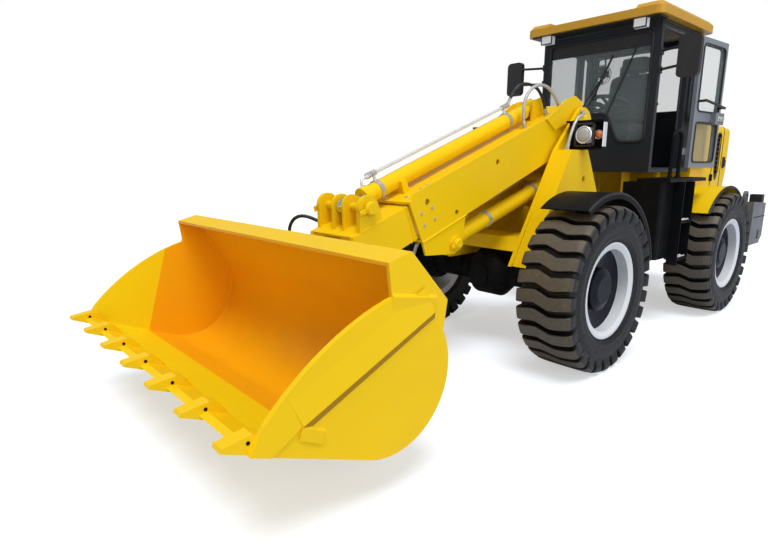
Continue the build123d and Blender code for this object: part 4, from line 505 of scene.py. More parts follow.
braid, tree, shader, place = start_material("steel_braid")
wires = []
for lean in (45, -45):
    turn = add_node(tree, "ShaderNodeMapping", Rotation=(np.radians(lean), np.radians(lean), 0))
    tree.links.new(place, turn.inputs["Vector"])
    wave = add_node(tree, "ShaderNodeTexWave", Scale=90.0)
    tree.links.new(turn.outputs[0], wave.inputs["Vector"])
    wires.append(wave.outputs["Fac"])
weave = arithmetic(tree, "MULTIPLY", *wires)
dark, light = (0.42, 0.43, 0.44, 1), (0.80, 0.81, 0.82, 1)
tree.links.new(mix_colour(tree, weave, dark, light), shader.inputs["Base Color"])
tree.links.new(spread(tree, weave, 0, 1, 0.5, 0.28), shader.inputs["Roughness"])
set_inputs(shader, Metallic=0.5)
bump(tree, shader, weave, 0.5, 0.002)
finishes["steel_braid"] = braid
print("finishes", len(finishes))

# %% [markdown]
# Tread rubber is grey-brown where the ground has scuffed the lugs, and black in the grooves and on the
# side wall. The tyre's mesh says where: it carries a value from 0 in the grooves to 1 on the lugs.

# %% Tyre rubber
tyre_rubber, tree, shader, place = start_material("tread_rubber")
worn = add_node(tree, "ShaderNodeAttribute", attribute_name="lug_top")
grain = noise(tree, place, 60.0, 6, 0.6)
GROOVE_BLACK = (0.006, 0.006, 0.007, 1)
dark, light = (0.075, 0.062, 0.046, 1), (0.115, 0.096, 0.072, 1)
scuffed = mix_colour(tree, spread(tree, grain, 0.3, 0.7), dark, light)
tread = mix_colour(tree, worn.outputs["Fac"], GROOVE_BLACK, scuffed)
tree.links.new(tread, shader.inputs["Base Color"])
tree.links.new(spread(tree, grain, 0.3, 0.7, 0.36, 0.6), shader.inputs["Roughness"])
set_inputs(shader, Specular_IOR_Level=0.35)
bump(tree, shader, noise(tree, place, 220.0, 3), 0.25, 0.0015)
finishes["tyre"] = tyre_rubber
print("tyre rubber reads", worn.attribute_name)

# %% [markdown]
# A rim has a silver ring round a dark, deep disc. Both are one solid, so the paint changes with the
# distance from the axle: the length of the (x, z) offset from the wheel's centre.

# %% Rims painted by radius
RING_IN, RING_SOFT = 0.287, 0.001
RIM_DARK, RIM_SILVER = (0.006, 0.0085, 0.016, 1), (0.66, 0.68, 0.71, 1)


def rim_colour(tree, place, centre):
    """Silver outside a radius about the axle through a wheel's centre, and dark blue-grey inside it."""
    offset = vector_step(tree, "MULTIPLY", vector_step(tree, "SUBTRACT", place, centre), (1, 0, 1))
    radius = vector_step(tree, "LENGTH", offset)
    ring = spread(tree, radius, RING_IN - RING_SOFT, RING_IN + RING_SOFT)
    return mix_colour(tree, ring, RIM_DARK, RIM_SILVER)


rim_finish = {}
for name in WHEELS:
    colour = partial(rim_colour, centre=wheel_centre[name])
    rim_finish[name] = paint(f"rim_enamel_{name}", colour, dust=0.05, shine=0.12)
print("rim finishes", len(rim_finish))

# %% [markdown]
# Light and shade are painted inside the bucket. Its flat floor is painted a lighter yellow, as if in sun, and
# its rolled back a deeper orange as painted shade, with a straight painted shadow line between them from side
# to side where the rim's shadow falls. The tone is mixed where a face looks towards the bucket's middle and
# lies behind that line.

# %% Bucket enamel with painted light on the floor and painted shade on the back
BUCKET_TILT, BUCKET_PIN_U, BUCKET_PIN_V = np.radians(22.5), 1.175, 0.508
BUCKET_BACK = np.array([-np.cos(BUCKET_TILT), 0, -np.sin(BUCKET_TILT)])
BUCKET_UP = np.array([-np.sin(BUCKET_TILT), 0, np.cos(BUCKET_TILT)])
bucket_pin = np.array(joints["tilt"]["pos_m"]) * (1, 0, 1)
BUCKET_TIP = bucket_pin - BUCKET_PIN_U * BUCKET_BACK - BUCKET_PIN_V * BUCKET_UP
# Painted light and shade inside the bucket: a lighter yellow for the sunlit floor, a deep orange for the shaded
# back, split at the painted shadow line.
PAINTED_SUNLIT_YELLOW, PAINTED_SHADE_ORANGE = (0.88, 0.66, 0.006, 1), (0.86, 0.405, 0.004, 1)
SHADOW_LINE_LOW, SHADOW_LINE_HIGH = (0.50, 0.0), (0.40, 0.86)  # the line's u, v on the floor and at the rim
BUCKET_MIDDLE = BUCKET_TIP + 0.62 * BUCKET_BACK + 0.40 * BUCKET_UP
SHADOW_LINE_SOFT, INWARD_SOFT = 0.003, 0.02


def bucket_colour_painted_light(tree, place):
    """Yellow outside; inside, a painted sunlit floor before the painted shadow line, and painted shade in deep
    orange behind it.
    """
    facing = tree.nodes.new("ShaderNodeTexCoord").outputs["Normal"]
    start = BUCKET_TIP + SHADOW_LINE_LOW[0] * BUCKET_BACK + SHADOW_LINE_LOW[1] * BUCKET_UP
    du, dv = SHADOW_LINE_HIGH[0] - SHADOW_LINE_LOW[0], SHADOW_LINE_HIGH[1] - SHADOW_LINE_LOW[1]
    behind = (dv * BUCKET_BACK - du * BUCKET_UP) / np.hypot(du, dv)
    past_shadow_line = vector_step(tree, "DOT_PRODUCT", vector_step(tree, "SUBTRACT", place, start), behind)
    outward = vector_step(tree, "DOT_PRODUCT", vector_step(tree, "SUBTRACT", place, BUCKET_MIDDLE), facing)
    inward = arithmetic(tree, "MULTIPLY", outward, -1.0)
    inside = mix_colour(tree, spread(tree, past_shadow_line, -SHADOW_LINE_SOFT, SHADOW_LINE_SOFT), PAINTED_SUNLIT_YELLOW, PAINTED_SHADE_ORANGE)
    return mix_colour(tree, spread(tree, inward, 0.0, INWARD_SOFT), (*YELLOW, 1), inside)


finishes["bucket_enamel"] = paint("bucket_enamel", bucket_colour_painted_light, dust=0.03, gloss=(0.30, 0.42), shine=0.14)
print("bucket tip", BUCKET_TIP)

# %% Give every node its finish
slots = {part["node"]: part["material_slot"] for part in frame["record"]["subparts"]}
TAIL_FACE, FACE_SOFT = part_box("tail_lamps")[0][0] + 0.014, 0.001
LAMP_RED, LAMP_BLACK = (0.45, 0.01, 0.01, 1), (0.014, 0.014, 0.016, 1)
tail_lamp, tree, shader, place = start_material("tail_lamp")
ahead = spread(tree, coordinate(tree, place, "X"), TAIL_FACE - FACE_SOFT, TAIL_FACE + FACE_SOFT)
tree.links.new(mix_colour(tree, ahead, LAMP_RED, LAMP_BLACK), shader.inputs["Base Color"])
tree.links.new(spread(tree, ahead, 0, 1, 0.2, 0.5), shader.inputs["Roughness"])
OWN_FINISH = {f"rim_{name}": rim_finish[name] for name in WHEELS}
OWN_FINISH |= {"door_frame": finishes["door_paint"], "bucket": finishes["bucket_enamel"]}
OWN_FINISH["tail_lamps"] = tail_lamp
for name, piece in nodes.items():
    dress(piece, OWN_FINISH.get(name) or finishes[slots[name]])
print("dressed", len(nodes))

# %% [markdown]
# A tyre is a surface of revolution whose height changes round the wheel: lugs stand on it, with grooves
# between. The columns of its grid lean with the lugs' zigzag, so each lug's wall lies along a grid line
# and stays crisp.

# %% Tyres
TYRE_R, RIM_EDGE, BEAD_R = 0.585, 0.3385, 0.305
TREAD_HALF = 0.176
LUG_COUNT, LUG_LENGTH, LUG_SWING = 28, 0.086, 0.023
LUG_WALL, WALL_OUT, WALL_IN = 0.16, 0.3, 0.35  # shares of half a lug, and of its wall
PROFILE = np.array([  # across, radius in the groove, lug's height, rubber shows as worn
    (0.0, 0.546, 0.038, 1.0),
    (0.050, 0.546, 0.038, 1.0),
    (0.100, 0.545, 0.0385, 1.0),
    (0.140, 0.543, 0.0395, 1.0),
    (0.162, 0.540, 0.0405, 1.0),
    (0.171, 0.536, 0.0410, 0.8),
    (0.177, 0.530, 0.0340, 0.15),
    (0.182, 0.520, 0.0230, 0.0),
    (0.186, 0.508, 0.0135, 0.0),
    (0.189, 0.492, 0.0070, 0.0),
    (0.1915, 0.484, 0.0015, 0.0),
    (0.193, 0.478, 0.0, 0.0),
    (0.1985, 0.455, 0.0, 0.0),
    (0.1995, 0.435, 0.0, 0.0),
    (0.1985, 0.412, 0.0, 0.0),
    (0.1945, 0.392, 0.0, 0.0),
    (0.1965, 0.386, 0.0, 0.0),
    (0.1945, 0.379, 0.0, 0.0),
    (0.188, 0.364, 0.0, 0.0),
    (0.181, 0.352, 0.0, 0.0),
    (0.183, 0.348, 0.0, 0.0),
    (0.179, 0.3435, 0.0, 0.0),
    (0.166, RIM_EDGE, 0.0, 0.0),
    (0.165, 0.322, 0.0, 0.0),
    (0.165, BEAD_R, 0.0, 0.0),
])


def tyre_surface(centre, hand):
    """Rows go round the wheel, columns across it, and lugs lean by LUG_SWING*wave(across)."""
    across = np.concatenate([-PROFILE[::-1, 0], PROFILE[1:, 0]])
    groove, rise, worn = (np.concatenate([PROFILE[::-1, k], PROFILE[1:, k]]) for k in (1, 2, 3))
    outline = np.stack([across, groove], axis=1)
    along = np.gradient(outline, axis=0)
    normal = np.stack([-along[:, 1], along[:, 0]], axis=1)
    normal /= np.linalg.norm(normal, axis=1, keepdims=True)
    pitch = 2 * np.pi / LUG_COUNT
    top = LUG_LENGTH / TYRE_R / 2
    wall = LUG_WALL * top
    inner, outer = top - WALL_IN * wall, top + WALL_OUT * wall
    steps = np.array([-pitch / 2, -top - wall, -outer, -inner, -0.5 * top, 0])
    steps = np.concatenate([steps, -steps[-2:0:-1]])
    share = np.interp(np.abs(steps), [0, inner, outer, top + wall], [1, 1, 0.88, 0])
    angle = (np.arange(LUG_COUNT)[:, None] * pitch + steps[None]).ravel()
    lug = np.tile(share, LUG_COUNT)
    wave = np.interp(across / TREAD_HALF / 2, [-0.5, -0.17, 0.17, 0.5], [0, -1, 1, 0])
    lean = wave * LUG_SWING / TYRE_R
    offset = lug[:, None] * rise[None]
    width = across[None] + offset * normal[None, :, 0]
    radius = groove[None] + offset * normal[None, :, 1]
    turn = angle[:, None] + lean[None]
    points = np.stack([np.sin(turn) * radius, width, np.cos(turn) * radius], axis=2)
    points[..., :2] *= hand
    return points + centre, np.clip((lug[:, None] - 0.9) * 10, 0, 1) * worn[None]


for name in WHEELS:
    points, worn = tyre_surface(wheel_centre[name], 1 if name.endswith("left") else -1)
    rows, columns = worn.shape
    tyre = mesh_piece(f"tread_{name}", points.reshape(-1, 3), grid_faces(rows, columns, True, True)[:, ::-1])
    top = tyre.data.attributes.new("lug_top", "FLOAT", "POINT")
    top.data.foreach_set("value", worn.ravel().astype(np.float32))
    dress(tyre, finishes["tyre"])
    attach(tyre, f"wheel_{name}")
    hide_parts(f"tyre_{name}")
print("tyre grid", rows, "by", columns)

# %% [markdown]
# The boom, the bucket and the door each have axes of their own. A detail is easier to place in those: so
# far along the boom, so far back on the bucket's floor, so far along the door while it is shut. Three
# functions carry such places into the machine's frame, and they take whole arrays as well as single
# points.

# %% Places on the boom, the bucket and the door
DOOR_HINGE = np.array(joints["door_swing"]["pos_m"]) * (1, 1, 0)
DOOR_OPEN = np.radians(176)


def boom_place(s, y, t):
    """A place in the boom's axes: along, across and above."""
    return on_boom(s, t, y)


def bucket_place(u, y, v):
    """A place in the bucket's axes: back along its floor from the tooth tips, across and above."""
    return BUCKET_TIP + u * BUCKET_BACK + v * BUCKET_UP + y * ACROSS


def door_place(x, y, z):
    """A place on the shut door, x ahead of the rear axle, turned about the hinge to the open door."""
    dx, dy = x + REAR_X - DOOR_HINGE[0], y - DOOR_HINGE[1]
    turned_x = DOOR_HINGE[0] + dx * np.cos(DOOR_OPEN) - dy * np.sin(DOOR_OPEN)
    turned_y = DOOR_HINGE[1] + dx * np.sin(DOOR_OPEN) + dy * np.cos(DOOR_OPEN)
    return np.concatenate([turned_x, turned_y, z], axis=-1)


print("door hinge", DOOR_HINGE)

# %% [markdown]
# The driver's seat is upholstered. A pad is a box with soft corners, the superellipsoid whose coordinates
# are signed powers of sines and cosines. Cloth under pressure then crowns it, as foam crowns its cover,
# and the result is applied.

# %% Seat pads
PAD_POWER, PAD_VOXEL, PAD_CAP = 0.28, 0.006, 0.012
PAD_PRESSURE, PAD_FRAMES = 4, 20
SEAT_X = REAR_X + 0.47
PADS = [  # name, middle, half sizes, lean back in degrees, fill
    ("seat_cushion", (SEAT_X, 0, 1.775), (0.222, 0.232, 0.048), 0, 0.7),
    ("seat_back", (SEAT_X - 0.205, 0, 2.085), (0.050, 0.230, 0.245), -6.8, 0.7),
    ("seat_headrest", (SEAT_X - 0.262, 0, 2.418), (0.046, 0.130, 0.076), -6.8, 0.8),
]


def signed_power(value, power):
    """The value's size raised to a power, with its sign kept."""
    return np.sign(value) * np.abs(value) ** power


def leaned(x, y, z, lean):
    """Points turned about the y axis by an angle in degrees."""
    a = np.radians(lean)
    return np.stack([x * np.cos(a) + z * np.sin(a), y, z * np.cos(a) - x * np.sin(a)], axis=-1)


def pad_surface(middle, half, lean, rows=36, columns=64):
    """Rows go from pole to pole, columns round: half * signed powers of cos and sin, then leaned."""
    v = np.linspace(-np.pi / 2 + 0.02, np.pi / 2 - 0.02, rows)[:, None]
    u = np.linspace(0, 2 * np.pi, columns, endpoint=False)[None]
    belt = np.cos(v) ** PAD_POWER
    x = half[0] * belt * signed_power(np.cos(u), PAD_POWER)
    y = half[1] * belt * signed_power(np.sin(u), PAD_POWER)
    z = half[2] * np.broadcast_to(signed_power(np.sin(v), PAD_POWER), x.shape)
    return leaned(x, y, z, lean).reshape(-1, 3) + middle, capped_faces(rows, columns)


def applied(piece):
    """The piece's mesh with its modifiers worked in."""
    bpy.context.view_layer.update()
    done = bpy.data.meshes.new_from_object(piece.evaluated_get(bpy.context.evaluated_depsgraph_get()))
    piece.modifiers.clear()
    piece.data = done


def swell(piece, cap):
    """Cloth under pressure for some frames with no gravity; no point moves further than the cap."""
    scene = bpy.context.scene
    rest = np.empty(len(piece.data.vertices) * 3)
    piece.data.vertices.foreach_get("co", rest)
    cloth = piece.modifiers.new("stuffing", "CLOTH")
    cloth.settings.use_pressure = True
    cloth.settings.uniform_pressure_force = PAD_PRESSURE
    cloth.settings.effector_weights.gravity = 0
    for step in range(1, PAD_FRAMES + 1):
        scene.frame_set(step)
    applied(piece)
    scene.frame_set(1)
    puffed = np.empty(len(piece.data.vertices) * 3)
    piece.data.vertices.foreach_get("co", puffed)
    move = (puffed - rest).reshape(-1, 3)
    far = np.linalg.norm(move, axis=1, keepdims=True)
    move *= np.minimum(1, cap / np.maximum(far, 1e-9))
    piece.data.vertices.foreach_set("co", (rest.reshape(-1, 3) + move).ravel())


for name, middle, half, lean, fill in PADS:
    pad = mesh_piece(name, *pad_surface(middle, half, lean), crease=80)
    remesh = pad.modifiers.new("even_grid", "REMESH")
    remesh.mode = "VOXEL"
    remesh.voxel_size = PAD_VOXEL
    applied(pad)
    swell(pad, PAD_CAP)
    pad.data.shade_smooth()
    dress(pad, finishes["seat_fabric"])
    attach(pad, "rear_frame")
    if name == "seat_cushion":
        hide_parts("seat")
    print(name, len(pad.data.polygons), "faces")

# %% [markdown]
# Round each pad runs a sewn cord, and behind the back pad sits a hard shell on a base. The headrest
# stands on two steel stalks. They tell the eye that the dark shape behind the glass is a seat.

# %% Seat trim
def pad_belt(middle, half, lean, inset=0.985, count=72):
    """The pad's outline in the plane of its two largest sides, as a closed line."""
    u = np.linspace(0, 2 * np.pi, count, endpoint=False)
    thin = int(np.argmin(half))
    wide = [axis for axis in range(3) if axis != thin]
    line = np.zeros((count, 3))
    line[:, wide[0]] = half[wide[0]] * inset * signed_power(np.cos(u), PAD_POWER)
    line[:, wide[1]] = half[wide[1]] * inset * signed_power(np.sin(u), PAD_POWER)
    return leaned(*line.T, lean) + middle


piping = [tube(pad_belt(middle, half, lean), 0.006, 8, ring=True) for name, middle, half, lean, fill in PADS]
piece_of("seat_piping", piping, "rear_frame", "black_plastic")
shell_parts = [slab((SEAT_X - 0.275, -0.2, 1.79), (SEAT_X - 0.245, 0.2, 1.99), 0.012)]
stalks = [tube([(SEAT_X - 0.236, y, 2.30), (SEAT_X - 0.252, y, 2.36)], 0.008) for y in (-0.06, 0.06)]
for y in (-0.265, 0.265):
    arm_rest = [(SEAT_X - 0.20, y, 2.02), (SEAT_X - 0.10, y, 2.05), (SEAT_X + 0.10, y, 2.05)]
    shell_parts.append(tube(smooth_path(arm_rest, 12), 0.024))
piece_of("seat_shell", shell_parts, "rear_frame", "black_plastic")
piece_of("seat_stalks", stalks, "rear_frame", "pipe_steel")

# %% [markdown]
# Rubber gaskets hold the panes in the cab's walls. Each is a round bead along the window's outline, with
# the corners rounded as an extruded profile bends. The doorway has its own seal on the inside of the
# wall.

# %% Window gaskets
CAB_X0, CAB_X1, CAB_HALF, CAB_TOP = REAR_X + 0.08, REAR_X + 1.0, 0.56, 2.64
BEAD, BEAD_BEND = 0.011, 0.05
WINDSHIELD = [(-0.49, 1.90), (0.13, 1.90), (0.26, 1.64), (0.49, 1.64), (0.49, 2.56), (-0.49, 2.56)]  # y, z
SIDE_PANES = [(0.36, 0.95, -1), (0.14, 0.29, -1), (0.14, 0.29, 1)]  # rear x, front x, side
SIDE_LOW, REAR_LOW, PANE_TOP, REAR_HALF = 1.85, 1.95, 2.56, 0.47
DOORWAY, DOOR_SEAL_Y = (0.355, 0.955, 1.395, 2.595), 0.508  # rear x, front x, low z, high z


def upright_loop(a, b, low, high, place):
    """A rounded rectangle from a to b and low to high, put in space by a function of both directions."""
    return rounded_loop([place(a, low), place(b, low), place(b, high), place(a, high)], BEAD_BEND)


gaskets = [rounded_loop([(CAB_X1, y, z) for y, z in WINDSHIELD], BEAD_BEND)]
for rear, front, hand in SIDE_PANES:
    wall = hand * CAB_HALF
    gaskets.append(upright_loop(rear, front, SIDE_LOW, PANE_TOP, lambda x, z: from_rear(x, wall, z)))
gaskets.append(upright_loop(-REAR_HALF, REAR_HALF, REAR_LOW, PANE_TOP, lambda y, z: (CAB_X0, y, z)))
gaskets.append(upright_loop(*DOORWAY, lambda x, z: from_rear(x, DOOR_SEAL_Y, z)))
piece_of("window_gaskets", [tube(line, BEAD, 8, ring=True) for line in gaskets], "rear_frame", "hose_rubber")
roof_line = [(CAB_X0, -CAB_HALF), (CAB_X1, -CAB_HALF), (CAB_X1, CAB_HALF), (CAB_X0, CAB_HALF)]
roof_seal = rounded_loop([(x, y, CAB_TOP - 0.012) for x, y in roof_line], BEAD_BEND)
piece_of("roof_seal", [tube(roof_seal, 0.012, 8, ring=True)], "rear_frame", "hose_rubber")

# %% [markdown]
# The windshield is two panes that meet along a slanting joint, with a dark band at the top against the
# sun. A wiper with two parallel arms hangs in front of it, and a small fan stands behind it.

# %% Windshield fittings
GLASS_X = CAB_X1 - 0.020
header = slab((GLASS_X + 0.001, -0.485, 2.44), (GLASS_X + 0.005, 0.485, 2.557), 0.001)
joint_line = tube([(GLASS_X + 0.004, 0.395, 2.55), (GLASS_X + 0.004, 0.132, 1.91)], 0.008, 8)
piece_of("windshield_band", [header], "rear_frame", "black_plastic")
piece_of("windshield_joint", [joint_line], "rear_frame", "hose_rubber")
WIPER_X = GLASS_X + 0.030
arm_roots = [(-0.16, 1.865), (-0.09, 1.865)]
arm_tips = [(0.055, 2.20), (0.085, 2.235)]
blade = [(-0.02, 2.03), (0.15, 2.40)]
arm_hub = [(0, 0.019), (0.018, 0.017), (0.026, 0.010)]
wiper = []
for (y0, z0), (y1, z1) in zip(arm_roots, arm_tips):
    wiper.append(turned((CAB_X1 - 0.002, y0, z0), FORWARD, arm_hub, 14))
    bow = (WIPER_X + 0.022, (y0 + y1) / 2, (z0 + z1) / 2)
    wiper.append(tube([(CAB_X1 + 0.016, y0, z0), bow, (WIPER_X, y1, z1)], 0.006, 8))
wiper.append(tube([(WIPER_X - 0.006, y, z) for y, z in blade], 0.008, 6))
wiper.append(tube([(GLASS_X + 0.012, y, z) for y, z in blade], 0.006, 4))
piece_of("wiper", wiper, "rear_frame", "black_plastic")

# %% Fan behind the windshield
FAN = np.array([CAB_X1 - 0.16, -0.03, 2.27])
FAN_R = 0.085
circle = np.linspace(0, 2 * np.pi, 36, endpoint=False)


def fan_ring(radius, x):
    """A circle of the fan's cage in the plane across the cab."""
    return FAN + np.stack([np.full_like(circle, x), radius * np.cos(circle), radius * np.sin(circle)], axis=1)


CAGE_RINGS = [(1.0, 0.02), (1.0, -0.02), (0.75, 0.028), (0.45, 0.032)]  # share of the radius, x
cage = [tube(fan_ring(share * FAN_R, x), 0.003, 6, ring=True) for share, x in CAGE_RINGS]
motor = turned(FAN, BACKWARDS, [(-0.03, 0.022), (-0.02, 0.03), (0.05, 0.03), (0.06, 0.02)], 18)
stand = tube(smooth_path([FAN + (-0.05, 0, 0), FAN + (-0.06, 0, 0.12), FAN + (0, 0, 0.30)], 12), 0.008, 8)
BLADE_ROWS, BLADE_COLUMNS, BLADE_THICK = 6, 5, 0.002
index = np.arange(BLADE_ROWS * BLADE_COLUMNS).reshape(BLADE_ROWS, BLADE_COLUMNS)
rim = np.concatenate([index[0], index[1:, -1], index[-1, -2::-1], index[-2:0:-1, 0]])
quads = grid_faces(BLADE_ROWS, BLADE_COLUMNS, False, False)
edge = np.stack([rim, np.roll(rim, -1), np.roll(rim, -1) + index.size, rim + index.size], axis=1)
blade_faces = np.concatenate([quads, quads[:, ::-1] + index.size, edge]).tolist()
r, w = np.meshgrid(
    np.linspace(0.02, 0.9 * FAN_R, BLADE_ROWS), np.linspace(-0.028, 0.028, BLADE_COLUMNS), indexing="ij"
)
twist = w * (r / FAN_R + 0.3)
blades = []
for turn in np.arange(4) * np.pi / 2:
    out, along = np.array([0, np.cos(turn), np.sin(turn)]), np.array([0, -np.sin(turn), np.cos(turn)])
    front = FAN + r[..., None] * out + twist[..., None] * along + (w * 0.5)[..., None] * np.array([1.0, 0, 0])
    front = front.reshape(-1, 3)
    blades.append((np.concatenate([front, front - (BLADE_THICK, 0, 0)]), blade_faces))
piece_of("cab_fan", cage + [motor, stand] + blades, "rear_frame", "black_plastic")

# %% [markdown]
# Inside the cab a lined ceiling, an instrument hood over the steering column and a lever console at the
# driver's right hand show through the glass. The roof's underside is a dark pan that reaches forward to
# the work lamps.

# %% Cab inside
ceiling = slab((CAB_X0 + 0.05, -0.51, CAB_TOP - 0.036), (CAB_X1 - 0.05, 0.51, CAB_TOP - 0.004), 0.01)
soffit = slab((CAB_X1 + 0.004, -0.60, CAB_TOP - 0.012), (REAR_X + 1.17, 0.60, CAB_TOP - 0.001), 0.003)
piece_of("cab_lining", [ceiling, soffit], "rear_frame", "black_plastic")
HOOD_REACH, HOOD_ROWS, HOOD_SIDES = 0.17, 24, 14
across = np.linspace(-HOOD_REACH, HOOD_REACH, HOOD_ROWS)[:, None]
arch = np.linspace(0, np.pi, HOOD_SIDES)[None]
wide = 1 - 0.25 * (across / HOOD_REACH) ** 4
binnacle = np.stack([
    REAR_X + 0.86 + 0.09 * np.cos(arch) * wide,
    np.broadcast_to(across, (HOOD_ROWS, HOOD_SIDES)),
    1.69 + 0.16 * np.sin(arch) * wide,
], axis=2)
LEVERS = [(0.62, -0.36, 0.10), (0.66, -0.31, 0.06), (0.70, -0.36, 0.02)]  # x, y, lean forward
LEVER_KNOB = [(-0.02, 0.012), (0, 0.02), (0.025, 0.021), (0.04, 0.012)]
LEVER_BOOT = [(0, 0.032), (0.012, 0.028), (0.03, 0.014), (0.05, 0.010)]
console = [(binnacle.reshape(-1, 3), capped_faces(HOOD_ROWS, HOOD_SIDES))]
console.append(slab(from_rear(0.40, -0.42, 1.412), from_rear(0.76, -0.27, 1.90), 0.02))
for x, y, lean in LEVERS:
    foot, head = from_rear(x, y, 1.89), from_rear(x + lean, y, 2.06)
    console.append(tube([foot, (foot + head) / 2 + (0.004, 0, 0), head], 0.007, 8))
    console.append(turned(head, head - foot, LEVER_KNOB, 16))
    console.append(turned(foot, UP, LEVER_BOOT, 16))
piece_of("lever_console", console, "rear_frame", "black_plastic")

# %% [markdown]
# The door carries a grab bar, a latch with its knob and outer handle, and a bead round each pane. They
# are placed on the shut door and turned open with it, so they swing with its body.

# %% Door fittings
PANE_X = (0.421, 0.889)
DOOR_PANES = [(1.461, 1.83), (1.93, 2.529)]  # low and high z
DOOR_FACES = [0.523, 0.562]  # inner and outer y while shut
beads = []
for low, high in DOOR_PANES:
    for y in DOOR_FACES:
        loop = upright_loop(*PANE_X, low, high, lambda x, z: np.array([x, y, z]))
        beads.append(tube(loop, 0.008, 8, ring=True))
piece_of("door_beads", beads, "door", "hose_rubber", place=door_place)
bar_line = [(0.44, 0.527, 2.02), (0.44, 0.475, 2.02), (0.47, 0.465, 2.02)]
bar_line += [(0.84, 0.465, 1.98), (0.87, 0.475, 1.98), (0.87, 0.527, 1.98)]
grab = tube(smooth_path(bar_line, 40), 0.012, 12)
piece_of("door_grab_bar", [grab], "door", "black_plastic", place=door_place)
latch = [
    slab((0.775, 0.472, 1.845), (0.90, 0.482, 1.905), 0.006),
    turned((0.815, 0.474, 1.875), (0, -1, 0), [(0, 0.022), (0.012, 0.022), (0.018, 0.014)], 18),
    slab((0.845, 0.462, 1.866), (0.895, 0.474, 1.884), 0.005),
    slab((0.80, 0.560, 1.85), (0.93, 0.576, 1.91), 0.007),
]
piece_of("door_latch", latch, "door", "zinc", place=door_place)

# %% Mirrors and roof lamps
MIRROR_X = CAB_X1 + 0.060
mirror_parts, clamp_parts, bezel_parts = [], [], []
for hand in (-1, 1):
    low, high = (MIRROR_X - 0.003, hand * 0.757, 2.16), (MIRROR_X + 0.001, hand * 0.903, 2.42)
    mirror_parts.append(slab(low, high, 0.001))
    for z in (2.23, 2.38):
        low, high = (CAB_X1 - 0.055, hand * 0.558, z - 0.03), (CAB_X1 + 0.005, hand * 0.572, z + 0.03)
        clamp_parts.append(slab(low, high, 0.004))
        clamp_parts += bolt((CAB_X1 - 0.043, hand * 0.572, z), (0, hand, 0), 0.007)


def window_frame(x, y, z, half_y, half_z, bar, depth):
    """Four bars round an opening in a plane across the machine."""
    low, high = (x, y - half_y, z - half_z), (x + depth, y + half_y, z + half_z)
    sides = [slab(low, (high[0], low[1] + bar, high[2])), slab((x, high[1] - bar, low[2]), high)]
    return sides + [slab(low, (high[0], high[1], low[2] + bar)), slab((x, low[1], high[2] - bar), high)]


for hand in (-1, 1):
    for x in (1.160, 0.012):
        bezel_parts += window_frame(REAR_X + x, hand * 0.44, 2.598, 0.058, 0.041, 0.009, 0.016)
piece_of("mirror_glass", mirror_parts, "rear_frame", "mirror")
piece_of("mirror_clamps", clamp_parts, "rear_frame", "black_plastic")
piece_of("work_lamp_bezels", bezel_parts, "rear_frame", "black_plastic")

# %% [markdown]
# A headlamp is a glass dome in a bright ring, set in a square black housing. The signal beside it is
# smaller and amber, and a bare steel plate closes the bracket's outer end.

# %% Headlamps
LAMP_X, LAMP_Z = FRONT_X - 0.40, 1.658
dome = [(0.0, 0.055), (0.006, 0.052), (0.011, 0.044), (0.015, 0.032), (0.017, 0.016), (0.0175, 0.003)]
ring_profile = [(-0.012, 0.054), (-0.012, 0.064), (0.004, 0.066), (0.009, 0.061), (0.006, 0.055)]
SIGNAL_SIZE = 0.52
housings, rings, lenses, ambers, plates = [], [], [], [], []
for hand in (-1, 1):
    lamp, signal = (LAMP_X, hand * 0.48, LAMP_Z), (LAMP_X - 0.04, hand * 0.58, LAMP_Z)
    housings += window_frame(LAMP_X - 0.030, hand * 0.48, LAMP_Z, 0.080, 0.088, 0.016, 0.030)
    rings.append(turned(lamp, FORWARD, ring_profile, 32, ring=True))
    rings.append(turned(signal, FORWARD, np.array(ring_profile) * (1, SIGNAL_SIZE), 24, ring=True))
    lenses.append(turned(lamp, FORWARD, dome, 32))
    ambers.append(turned(signal, FORWARD, np.array(dome) * (1, SIGNAL_SIZE), 24))
    low, high = (LAMP_X - 0.078, hand * 0.6195, LAMP_Z - 0.09), (LAMP_X - 0.022, hand * 0.6245, LAMP_Z + 0.09)
    plates.append(slab(low, high, 0.002))
piece_of("headlamp_housings", housings, "front_frame", "black_plastic")
piece_of("headlamp_rings", rings, "front_frame", "pipe_steel")
piece_of("headlamp_domes", lenses, "front_frame", "head_lens")
piece_of("signal_domes", ambers, "front_frame", "amber_lens")
piece_of("bracket_plates", plates, "front_frame", "pipe_steel")

# %% [markdown]
# Hydraulic hoses stand in stiff arches between their fittings, because pressure hose keeps its curve.
# Each is a NURBS curve on its route's points, with a round bevel.

